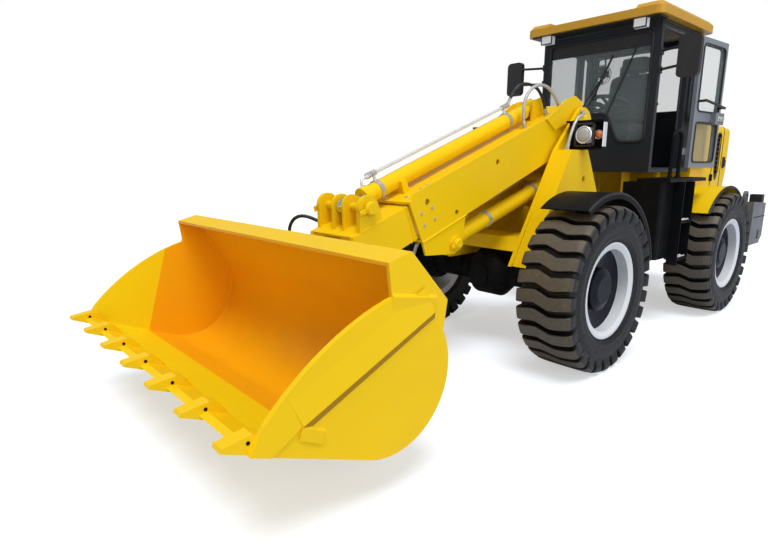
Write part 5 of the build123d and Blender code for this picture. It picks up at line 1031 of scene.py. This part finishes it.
# %% Hoses
HOSE_R = 0.012
INNER_HALF = 0.221
HOSES = [  # name, body, node, finish, route
    ("hose_arch", "boom_outer", "boom_hoses", "hose_rubber",
     [on_boom(0.52, 0.33), on_boom(0.43, 0.43, 0.015), on_boom(0.30, 0.445, 0.04), on_boom(0.16, 0.33, 0.09),
      on_boom(0.16, 0.138, 0.09)]),
    ("hose_braided", "boom_outer", "boom_hoses", "steel_braid",
     [on_boom(0.50, 0.138, 0.11), on_boom(0.505, 0.30, 0.11), on_boom(0.333, 0.43, 0.125),
      on_boom(0.115, 0.345, 0.155), on_boom(0.06, 0.138, 0.16)]),
    ("hose_head", "boom_inner", "head_hose", "hose_rubber",
     [on_boom(2.25, 0.04, -INNER_HALF), on_boom(2.217, 0.039, -0.336), on_boom(2.317, 0.172, -0.494),
      on_boom(2.398, 0.052, -0.601), on_boom(2.412, -0.124, -0.472), on_boom(2.33, -0.06, -INNER_HALF)]),
    ("hose_tower", "front_frame", "tower_hose", "steel_braid",
     [from_front(-0.64, 0.315, 1.85), from_front(-0.596, 0.387, 1.844), from_front(-0.367, 0.404, 1.765),
      from_front(-0.35, 0.375, 1.548)]),
]


def spline_length(curve_object):
    """The length of a curve's centreline, from its evaluated points while it has no bevel."""
    line = bpy.data.meshes.new_from_object(curve_object)
    points = np.empty(len(line.vertices) * 3)
    line.vertices.foreach_get("co", points)
    bpy.data.meshes.remove(line)
    return float(np.linalg.norm(np.diff(points.reshape(-1, 3), axis=0), axis=1).sum())


ferrule = [(-0.005, 0.021), (0.012, 0.021), (0.012, 0.016), (0.016, 0.0155), (0.050, 0.0155), (0.054, 0.0135)]
for name, body, node, finish, route in HOSES:
    curve = bpy.data.curves.new(name, "CURVE")
    curve.dimensions = "3D"
    curve.resolution_u = 16
    spline = curve.splines.new("NURBS")
    spline.points.add(len(route) - 1)
    spline.points.foreach_set("co", np.array([(*point, 1.0) for point in route]).ravel())
    spline.order_u = 3
    spline.use_endpoint_u = True
    hose = bpy.data.objects.new(name, curve)
    bpy.context.scene.collection.objects.link(hose)
    bpy.context.view_layer.update()
    length = spline_length(hose)
    curve.bevel_depth = HOSE_R
    curve.bevel_resolution = 4
    curve.use_fill_caps = True
    curve.materials.append(finishes[finish])
    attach(hose, body)
    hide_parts(node)
    ways = ((route[0], route[1]), (route[-1], route[-2]))
    ends = [turned(end, inner - end, ferrule, 6) for end, inner in ways]
    fittings = piece_of(f"{name}_fittings", ends, body, "zinc")
    print(name, "length", round(length, 3))

# %% [markdown]
# Pins are the boom's joints, and each ends in a head that a bolted keeper plate stops from turning. Nylon
# pads show round the inner boom where it leaves the outer one, held by rows of bolts in the outer boom's
# walls.

# %% Pin heads, wear pads and boom bolts
def pin_head(s, t, y, hand, radius):
    """A stepped round head on a pin's end with a keeper plate and its bolt beside it."""
    profile = [(-0.004, radius), (0.012, radius), (0.016, 0.86 * radius), (0.022, 0.8 * radius)]
    across = (0, hand, 0)
    keeper = slab((s + 0.8 * radius, y, t - 0.018), (s + 2.1 * radius, y + hand * 0.008, t + 0.018), 0.003)
    parts = [turned((s, y, t), across, profile, 28), keeper]
    return parts + bolt((s + 1.7 * radius, y + hand * 0.008, t), across, 0.009)


BOOM_HALF, BOOM_HIGH = 0.25, 0.138
inner_pins, outer_pins, pads, studs = [], [], [], []
for hand in (-1, 1):
    inner_pins += pin_head(2.26, 0.22, hand * 0.230, hand, 0.042)
    inner_pins += pin_head(2.568, -0.376, hand * 0.271, hand, 0.050)
    outer_pins += pin_head(1.66, -0.29, hand * 0.268, hand, 0.034)
    pads.append(slab((1.88, hand * 0.2225, -0.09), (1.958, hand * 0.2335, 0.08), 0.003))
    for s in (1.80, 1.90):
        for t in (-0.05, 0.03):
            studs += bolt((s, hand * BOOM_HALF, t), (0, hand, 0), 0.009)
for y in (-0.15, 0.15):
    pads.append(slab((1.88, y - 0.05, 0.1105), (1.965, y + 0.05, 0.1215), 0.003))
    pads.append(slab((1.88, y - 0.05, -0.1335), (1.948, y + 0.05, -0.1225), 0.003))
    for s in (1.70, 1.76, 1.90):
        studs += bolt((s, y, BOOM_HIGH), UP, 0.010)
piece_of("inner_boom_pins", inner_pins, "boom_inner", "yellow_paint", place=boom_place)
piece_of("outer_boom_pins", outer_pins, "boom_outer", "yellow_paint", place=boom_place)
piece_of("boom_wear_pads", pads, "boom_outer", "wear_pad", place=boom_place)
piece_of("boom_bolts", studs, "boom_outer", "zinc", place=boom_place)
cover = [(-0.002, 0.075), (0.010, 0.075), (0.016, 0.068), (0.022, 0.045)]
tower_parts = []
for hand in (-1, 1):
    centre = BOOM_PIVOT * (1, 0, 1) + hand * 0.315 * ACROSS
    tower_parts.append(turned(centre, (0, hand, 0), cover, 36))
    for turn in np.arange(3) * 2 * np.pi / 3:
        spot = centre + 0.057 * np.array([np.cos(turn), 0, np.sin(turn)]) + hand * 0.014 * ACROSS
        tower_parts += bolt(spot, (0, hand, 0), 0.008)
piece_of("boom_pivot_covers", tower_parts, "front_frame", "yellow_paint")

# %% [markdown]
# Plates are joined by weld beads. A bead is a thin tube that lies in the corner between two plates and
# follows the outline of the plate that it holds. It catches a line of light along the joint.

# %% Weld beads
def bead(corners, radius=0.006, step=0.012):
    """A thin tube along straight runs between corners, with a ring of points at about every step."""
    corners = np.asarray(corners, float)
    runs = np.linalg.norm(np.diff(corners, axis=0), axis=1)
    reach = np.concatenate([[0], np.cumsum(runs)])
    spot = np.linspace(0, reach[-1], max(8, int(reach[-1] / step)))
    path = np.stack([np.interp(spot, reach, corners[:, axis]) for axis in range(3)], axis=1)
    return tube(path, radius, 6)


WING_FOOT = [(0.42, 0.173), (0.33, 0.06), (-0.11, 0.04)]  # s, t
boom_beads, inner_beads, bucket_beads = [], [], []
for hand in (-1, 1):
    boom_beads.append(bead([(s, hand * 0.250, t) for s, t in WING_FOOT]))
    boom_beads.append(bead([(0.42, hand * 0.234, 0.139), (1.90, hand * 0.234, 0.139)]))
    boom_beads.append(bead([(1.50, hand * 0.2505, -0.150), (1.95, hand * 0.2505, -0.150)]))
    inner_beads.append(bead([(1.99, hand * 0.2215, -0.121), (1.99, hand * 0.2215, 0.109)]))
    for middle in (0.053, 0.200):
        half = 0.010 if middle < 0.1 else 0.017
        for y in (middle - half, middle + half):
            inner_beads.append(bead([(2.185, hand * y, 0.110), (2.36, hand * y, 0.110)]))
    inside = hand * 1.074
    arc = np.radians(np.linspace(-90, 50.5, 24))
    heel = [(0.68 + 0.326 * np.cos(a), inside, 0.34 + 0.326 * np.sin(a)) for a in arc]
    bucket_beads.append(bead([(0.22, inside, 0.014)] + heel + [(0.56, inside, 0.861)], 0.007))
    bucket_beads.append(bead([(0.281, hand * 1.092, 0.122), (0.793, hand * 1.092, 0.665)], 0.005))
piece_of("boom_welds", boom_beads, "boom_outer", "yellow_paint", place=boom_place)
piece_of("head_welds", inner_beads, "boom_inner", "yellow_paint", place=boom_place)
piece_of("bucket_welds", bucket_beads, "bucket", "bucket_enamel", place=bucket_place)

# %% [markdown]
# The bucket's side plates are pressed: a ridge runs up each side from the cutting edge's corner, with a
# short ledge at both ends. Its front flank rises slowly and its rear flank falls steeply, so one is
# bright and the other is dark. A thin strip over the main ridge's steep flank is painted dark ochre:
# painted shade along the crease.

# %% Ridges on the bucket's sides
SIDE_OUT, SIDE_IN, SHADE = 1.0995, 1.0905, 0.003
RIDGES = [  # start and end (u, v), the way to the slow flank, heights at both, slow run, steep fall
    ((0.281, 0.122), (0.793, 0.665), (-0.728, 0.686), (0.005, 0.008), 0.130, 0.034),
    ((0.530, 0.671), (0.785, 0.729), (0.222, -0.975), (0.007, 0.007), 0.060, 0.014),
    ((0.281, 0.118), (0.392, 0.110), (0.074, -0.997), (0.005, 0.005), 0.050, 0.014),
]


def ridge(start, end, slow, sections, hand):
    """A prism between two (u, v) points, whose sections are given as (distance towards the slow flank, y)."""
    rows = []
    for (u, v), section in zip((start, end), sections):
        rows += [(u + n * slow[0], hand * y, v + n * slow[1]) for n, y in section]
    return np.array(rows), capped_faces(2, 4)


ridges, crease_shade_strips = [], []
for hand in (-1, 1):
    for start, end, slow, lips, run, fall in RIDGES:
        tops = [SIDE_OUT + lip for lip in lips]
        flanks = [[(run, SIDE_OUT), (0, top), (-fall, SIDE_IN), (0, SIDE_IN)] for top in tops]
        ridges.append(ridge(start, end, slow, flanks, hand))
    # Thin strips over the main ridge's steep flank carry painted shade.
    start, end, slow, lips, run, fall = RIDGES[0]
    foot = [(-fall, SIDE_IN + SHADE), (-fall, SIDE_IN)]
    shades = [[(-SHADE, SIDE_OUT + lip), *foot, (-SHADE, SIDE_OUT)] for lip in lips]
    crease_shade_strips.append(ridge(start, end, slow, shades, hand))
piece_of("bucket_ridges", ridges, "bucket", "yellow_paint", 20, bucket_place)
piece_of("bucket_creases", crease_shade_strips, "bucket", "crease", 20, bucket_place)

# %% [markdown]
# Each tooth is a cap on an adapter, held by a pin through both, whose dark end shows on the tooth's side.
# Wear strips run under the bucket's floor, where it slides on the ground.

# %% Tooth pins and wear strips
TOOTH_COUNT, TOOTH_W, TEETH_HALF = 7, 0.066, 1.074
tooth_y = np.linspace(-TEETH_HALF, TEETH_HALF - TOOTH_W, TOOTH_COUNT)
pin_end = [(-0.004, 0.008), (0.0015, 0.008), (0.002, 0.006)]
pin_ends = []
for y in tooth_y:
    for face, way in ((y, -1), (y + TOOTH_W, 1)):
        pin_ends.append(turned((0.092, face, 0.042), (0, way, 0), pin_end, 14))
piece_of("tooth_pins", pin_ends, "bucket", "black_paint", place=bucket_place)
strips = [slab((0.30, y - 0.05, -0.010), (0.66, y + 0.05, 0.001), 0.004) for y in (-0.85, -0.30, 0.30, 0.85)]
piece_of("bucket_wear_strips", strips, "bucket", "yellow_paint", place=bucket_place)

# %% [markdown]
# Steel pipes bring oil along the cylinders. The lift cylinders' pipes lie between the two barrels under
# band clamps, and the boom's long pipe ends in hexagon unions.

# %% Cylinder pipes and clamps
lift_foot = from_front(-0.54, 0, 1.33)
lift_eye = on_boom(1.66, -0.29)
lift_way = (lift_eye - lift_foot) / np.linalg.norm(lift_eye - lift_foot)
PIPE_STOPS = [(0.16, 0.75), (0.20, 1.0), (1.10, 1.0), (1.16, 0.9), (1.19, 0.72)]  # along, share beside
pipes, clamps = [], []
for hand in (-1, 1):
    foot = lift_foot + hand * 0.168 * ACROSS
    beside = -hand * 0.070 * ACROSS
    route = [foot + d * lift_way + k * beside for d, k in PIPE_STOPS]
    pipes.append(tube(smooth_path(route, 40), 0.009, 10))
    for d in (0.35, 0.95):
        clamps.append(turned(foot + d * lift_way, lift_way, sleeve(0.016, 0.0555, 0.061), 28, ring=True))
    clamps.append(turned(foot + 1.19 * lift_way, -hand * ACROSS, [(0.045, 0.018), (0.066, 0.018)], 6))
piece_of("lift_pipes", pipes, "lift_barrels", "pipe_steel")
piece_of("lift_clamps", clamps, "lift_barrels", "zinc")
PIPE_T, BARREL_T = 0.33, 0.22
nut = [(-0.012, 0.014), (0.0, 0.020), (0.030, 0.020), (0.034, 0.014)]
unions = []
for s, way in ((0.52, 1), (2.05, -1)):
    unions.append(turned(on_boom(s, PIPE_T), way * BOOM_ALONG, nut, 6))
for s in (0.58, 1.99):
    unions.append(turned(on_boom(s, PIPE_T), BOOM_ALONG, sleeve(0.018, 0.012, 0.019), 16, ring=True))
    unions.append(turned(on_boom(s, BARREL_T), BOOM_ALONG, sleeve(0.016, 0.0585, 0.065), 32, ring=True))
piece_of("oil_pipe_unions", unions, "boom_outer", "zinc")
ELBOW = [(2.045, PIPE_T), (2.075, PIPE_T), (2.098, 0.315), (2.10, 0.275)]  # s, t
elbow = smooth_path([on_boom(s, t) for s, t in ELBOW], 16)
piece_of("oil_pipe_elbow", [tube(elbow, 0.011, 12)], "boom_outer", "pipe_steel")

# %% [markdown]
# The way up to the cab is non-slip. The platform is chequer plate, rows of small raised bars that lean
# left and right by turns, and the ladder's treads have toothed edges. The handrails stand on bolted feet.

# %% Platform chequer, treads and rail feet
PLATE_X, PLATE_Y, PLATE_Z = (0.37, 1.14), (0.57, 0.80), 1.32
CHEQUER_PITCH, CHEQUER_LONG, CHEQUER_WIDE, CHEQUER_HIGH = 0.045, 0.030, 0.008, 0.0035


def chequer(x_range, y_range, z):
    """Low bars on a square grid, each a frustum turned 45 degrees one way or the other."""
    x = np.arange(x_range[0], x_range[1], CHEQUER_PITCH)
    y = np.arange(y_range[0], y_range[1], CHEQUER_PITCH)
    i, j = np.meshgrid(np.arange(len(x)), np.arange(len(y)), indexing="ij")
    turn = np.where((i + j) % 2, np.pi / 4, -np.pi / 4).ravel()
    along = np.stack([np.cos(turn), np.sin(turn)], axis=1)[:, None]
    side = np.stack([-np.sin(turn), np.cos(turn)], axis=1)[:, None]
    corner = np.array([(-1, -1), (1, -1), (1, 1), (-1, 1)])[None] / 2
    rings = []
    for share, height in ((1.0, -0.001), (0.7, CHEQUER_HIGH)):
        flat = share * (corner[..., :1] * CHEQUER_LONG * along + corner[..., 1:] * CHEQUER_WIDE * side)
        flat = flat + np.stack([x[i].ravel(), y[j].ravel()], axis=1)[:, None]
        rings.append(np.concatenate([flat, np.full((*flat.shape[:2], 1), z + height)], axis=2))
    points = np.stack(rings, axis=1).reshape(-1, 3)
    faces = np.array([(0, 1, 5, 4), (1, 2, 6, 5), (2, 3, 7, 6), (3, 0, 4, 7), (4, 5, 6, 7), (3, 2, 1, 0)])
    start = np.arange(turn.size)[:, None, None] * 8
    return points + (REAR_X, 0, 0), (faces[None] + start).reshape(-1, 4).tolist()


right_y = (-PLATE_Y[1] + 0.02, -PLATE_Y[0] + 0.02)
decks = [chequer(PLATE_X, y_range, PLATE_Z) for y_range in (PLATE_Y, right_y)]
piece_of("platform_chequer", decks, "rear_frame", slots["platforms"])
tooth = [(-0.001, 0.009), (0.004, 0.0075), (0.008, 0.004)]
rail_foot = [(0, 0.036), (0.008, 0.036), (0.012, 0.024), (0.03, 0.018)]
teeth, feet = [], []
for hand in (-1, 1):
    for z in (0.628, 0.958):
        for y in (0.775, 0.805, 0.835):
            for x in np.linspace(0.725, 0.885, 9):
                teeth.append(turned(from_rear(x, hand * y, z), UP, tooth, 8))
    for x in (0.92, 1.09):
        foot = from_rear(x, hand * 0.78, PLATE_Z)
        feet.append(turned(foot, UP, rail_foot, 24))
        for turn in (0.8, 3.94):
            spoke = np.array([np.cos(turn), np.sin(turn), 0])
            feet += bolt(foot + 0.028 * spoke + (0, 0, 0.008), UP, 0.005)
piece_of("tread_teeth", teeth, "rear_frame", "zinc")
piece_of("rail_feet", feet, "rear_frame", slots["handrails"])

# %% [markdown]
# The hood opens in panels. Dark seams mark their edges, with hinges and a latch on each side. The side
# vent ends in a point below and has a ribbed baffle behind it, and a hinged flap keeps rain out of the
# exhaust.

# %% Hood details
HOOD_HALF, HOOD_TOP, HOOD_FALL, HOOD_EDGE = 0.575, 1.900, 0.07 / 1.04, 0.045


def hood_seam(x):
    """A line over the hood at x: up one side, round the edge's quarter circle, across and down again."""
    top = HOOD_TOP - HOOD_FALL * (0.06 - x)
    turn = np.linspace(0, np.pi / 2, 7)
    y = np.concatenate([[HOOD_HALF], HOOD_HALF - HOOD_EDGE + HOOD_EDGE * np.cos(turn)])
    z = np.concatenate([[1.10], top - HOOD_EDGE + HOOD_EDGE * np.sin(turn)])
    y, z = np.concatenate([y, -y[::-1]]), np.concatenate([z, z[::-1]])
    return np.stack([np.full(len(y), REAR_X + x), y, z], axis=1)


def side_slab(x, y, z, hand, cut):
    """A slab on one side of the machine, from ranges of x ahead of the rear axle, y outwards and z."""
    return slab(from_rear(x[0], hand * y[0], z[0]), from_rear(x[1], hand * y[1], z[1]), cut)


SEAM_R = 0.0045
seams = [tube(hood_seam(x), SEAM_R, 6) for x in (-0.53, -0.80)]
for hand in (-1, 1):
    seams.append(tube([from_rear(x, hand * HOOD_HALF, 1.17) for x in (-0.90, 0.04)], SEAM_R, 6))
piece_of("hood_seams", seams, "rear_frame", "hose_rubber")
VENT_TIP = [(-0.72, 1.335), (-0.62, 1.335), (-0.655, 1.275), (-0.685, 1.275)]  # x, z
tip_faces = [[0, 1, 2, 3], [7, 6, 5, 4]] + [[k, (k + 1) % 4, 4 + (k + 1) % 4, 4 + k] for k in range(4)]
vent_tips, hinges, latches, baffles = [], [], [], []
for hand in (-1, 1):
    outer = np.array([from_rear(x, hand * (HOOD_HALF + 0.003), z) for x, z in VENT_TIP])
    vent_tips.append((np.concatenate([outer, outer - (0, hand * 0.006, 0)]), tip_faces))
    vent_line = upright_loop(-0.727, -0.613, 1.335, 1.767, lambda x, z: from_rear(x, hand * HOOD_HALF, z))
    vent_tips.append(tube(vent_line, 0.007, 6, ring=True))
    for z in (1.30, 1.68):
        hinges.append(side_slab((-0.57, -0.49), (0.574, 0.584), (z - 0.035, z + 0.035), hand, 0.003))
        hinges.append(turned(from_rear(-0.53, hand * 0.586, z - 0.035), UP, [(0, 0.008), (0.07, 0.008)], 12))
    latches.append(side_slab((-0.90, -0.84), (0.574, 0.590), (1.40, 1.52), hand, 0.006))
    latches.append(side_slab((-0.885, -0.855), (0.588, 0.600), (1.42, 1.49), hand, 0.005))
    baffles.append(side_slab((-0.76, -0.58), (0.535, 0.541), (1.30, 1.80), hand, 0.002))
    for z in np.arange(1.33, 1.79, 0.05):
        baffles.append(side_slab((-0.75, -0.59), (0.541, 0.549), (z, z + 0.012), hand, 0.002))
piece_of("vent_tips", vent_tips, "rear_frame", "black_plastic")
piece_of("vent_baffles", baffles, "rear_frame", "black_plastic")
piece_of("hood_hinges", hinges, "rear_frame", "black_paint")
piece_of("hood_latches", latches, "rear_frame", "black_plastic")
flap_centre = from_rear(-0.19, -0.30, 2.487)
flap = [
    turned(flap_centre, (0.18, 0, 1), [(0, 0.053), (0.006, 0.053), (0.011, 0.040), (0.013, 0.012)], 28),
    turned(flap_centre + (-0.055, -0.02, 0.004), (0, 1, 0), [(0, 0.009), (0.04, 0.009)], 12),
    slab(flap_centre + (-0.10, -0.012, -0.004), flap_centre + (-0.045, 0.012, 0.006), 0.003),
]
piece_of("exhaust_flap", flap, "rear_frame", "zinc")

# %% [markdown]
# Rubber strips edge the mudguards. The counterweight is a casting with a parting line all round, big
# bolts behind and red reflectors, and each tail lamp sits in a black frame.

# %% Mudguard edges and counterweight details
def guard_edge(axle_x, radius, start, end, y):
    """An arc about a wheel's axle at y, from one angle to another."""
    turn = np.radians(np.linspace(start, end, 48))
    return np.stack([axle_x + radius * np.cos(turn), np.full(48, y), TYRE_R + radius * np.sin(turn)], axis=1)


GUARDS = [  # name, axle, arc's radius, start and end in degrees, y, strip's radius
    ("rear", REAR_X, 0.644, 40, 140, 0.930, 0.011),
    ("front", FRONT_X, 0.664, 58, 168, 0.966, 0.009),
]
for name, axle_x, radius, start, end, y, strip in GUARDS:
    edges = [tube(guard_edge(axle_x, radius, start, end, hand * y), strip, 8) for hand in (-1, 1)]
    piece_of(f"{name}_guard_edges", edges, f"{name}_frame", "hose_rubber")
WEIGHT_BACK, WEIGHT_FRONT, WEIGHT_HALF, PARTING_Z = REAR_X - 1.28, REAR_X - 0.79, 0.95, 0.88
weight_line = [(WEIGHT_FRONT, -WEIGHT_HALF), (WEIGHT_BACK, -WEIGHT_HALF)]
weight_line += [(WEIGHT_BACK, WEIGHT_HALF), (WEIGHT_FRONT, WEIGHT_HALF)]
parting = rounded_loop([(x, y, PARTING_Z) for x, y in weight_line], 0.06)
piece_of("weight_parting", [tube(parting, 0.005, 6, ring=True)], "rear_frame", "black_paint")
red_dome = [(-0.002, 0.036), (0.006, 0.036), (0.010, 0.030), (0.011, 0.008)]
tail_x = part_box("tail_lamps")[0][0]
weight_bolts, reflectors, tail_frames = [], [], []
for hand in (-1, 1):
    for y in (0.22, 0.46):
        weight_bolts += bolt((WEIGHT_BACK, hand * y, 0.80), BACKWARDS, 0.026)
    reflectors.append(turned((WEIGHT_BACK, hand * 0.74, 0.95), BACKWARDS, red_dome, 28))
    y = hand * 0.86
    tail_frames += window_frame(tail_x - 0.004, y, 1.066, 0.063, 0.047, 0.009, 0.014)
    tail_frames.append(slab((tail_x - 0.003, y - 0.003, 1.03), (tail_x + 0.004, y + 0.003, 1.10), 0.001))
piece_of("weight_bolts", weight_bolts, "rear_frame", "zinc")
piece_of("rear_reflectors", reflectors, "rear_frame", "red_lens")
piece_of("tail_lamp_frames", tail_frames, "rear_frame", "black_plastic")

# %% [markdown]
# Axle cases are cast in halves and bolted together round the differential, and the wheel ends carry a
# ring of bolts. These show from below and from behind.

# %% Axle bolts
case_cover = [(-0.03, 0.085), (0.010, 0.085), (0.018, 0.070), (0.022, 0.02)]
for axle_x, body, way in ((FRONT_X, "front_frame", 1), (REAR_X, "rear_frame", -1)):
    ring_bolts = []
    for turn in np.arange(12) * np.pi / 6:
        spoke = np.array([np.cos(turn), 0, np.sin(turn)])
        for hand in (-1, 1):
            spot = np.array([axle_x, hand * 0.58, TYRE_R]) + 0.117 * spoke
            ring_bolts += bolt(spot, (0, -hand, 0), 0.011)
    middle = np.array([axle_x + way * 0.188, 0, TYRE_R])
    ring_bolts.append(turned(middle, (way, 0, 0), case_cover, 32))
    piece_of(f"{body}_axle_bolts", ring_bolts, body, slots["front_axle"])

# %% [markdown]
# The floor is one pale sheet that runs out of sight, under a pale sky. Two broad suns light the machine:
# a strong one from above, and a weaker one from its left, so the near flanks and the tops are bright. A
# sun lights the far floor as it does the near one, and leaves no edge of light on it. To the camera,
# floor and sky look brighter than the light they give.

# %% Floor
FLOOR_REACH, FLOOR_GLOW, WHITE = 60, 0.50, (1, 1, 1, 1)


def seen_directly(tree):
    """One for rays from the camera and through glass, and nought for rays that light other things."""
    kind = tree.nodes.new("ShaderNodeLightPath")
    return arithmetic(tree, "MAXIMUM", kind.outputs["Is Camera Ray"], kind.outputs["Is Transmission Ray"])


corners = [(-FLOOR_REACH, -FLOOR_REACH, 0), (FLOOR_REACH, -FLOOR_REACH, 0)]
corners += [(FLOOR_REACH, FLOOR_REACH, 0), (-FLOOR_REACH, FLOOR_REACH, 0)]
floor = mesh_piece("floor", corners, [(0, 1, 2, 3)], shut=False)
floor_paint, tree, shader, place = start_material("pale_floor")
set_inputs(shader, Base_Color=(0.58, 0.62, 0.69, 1), Roughness=0.9, Specular_IOR_Level=0.0)
set_inputs(shader, Emission_Color=WHITE)
glow = arithmetic(tree, "MULTIPLY", seen_directly(tree), FLOOR_GLOW)
tree.links.new(glow, shader.inputs["Emission Strength"])
dress(floor, floor_paint)
print("floor reaches", FLOOR_REACH)

# %% Sky and suns
WORLD_LIGHT = 0.42
SUNS = [  # name, direction it comes from, width in degrees, strength
    ("sun_above", (0.24, 0.28, 0.93), 30, 2.2),
    ("sun_left", (0.25, 0.93, 0.28), 50, 1.0),
]
world = bpy.data.worlds.new("studio")
bpy.context.scene.world = world
world.use_nodes = True
tree = world.node_tree
shown = tree.nodes["Background"]
set_inputs(shown, Color=WHITE)
lighting = add_node(tree, "ShaderNodeBackground", Color=WHITE, Strength=WORLD_LIGHT)
mixed = tree.nodes.new("ShaderNodeMixShader")
tree.links.new(seen_directly(tree), mixed.inputs[0])
tree.links.new(lighting.outputs[0], mixed.inputs[1])
tree.links.new(shown.outputs[0], mixed.inputs[2])
tree.links.new(mixed.outputs[0], tree.nodes["World Output"].inputs["Surface"])

for name, way, angle, strength in SUNS:
    sun = bpy.data.objects.new(name, bpy.data.lights.new(name, "SUN"))
    bpy.context.scene.collection.objects.link(sun)
    sun.data.energy = strength
    sun.data.angle = np.radians(angle)
    sun.rotation_euler = (-Vector(way)).to_track_quat("-Z", "Y").to_euler()
print("suns", len(SUNS))

# %% Camera
CAMERA = (3.945, 2.63, 1.434)
CAMERA_YAW, CAMERA_PITCH, CAMERA_LENS = 228.51, 12.155, 25.05
camera = bpy.data.objects.new("camera", bpy.data.cameras.new("camera"))
bpy.context.scene.collection.objects.link(camera)
camera.location = CAMERA
camera.rotation_euler = (np.radians(90 - CAMERA_PITCH), 0, np.radians(CAMERA_YAW - 90))
camera.data.lens = CAMERA_LENS
camera.data.sensor_width = 36
bpy.context.scene.camera = camera
bpy.context.scene.view_settings.view_transform = "Standard"
print("camera", CAMERA)

# %% Update the scene
bpy.context.view_layer.update()
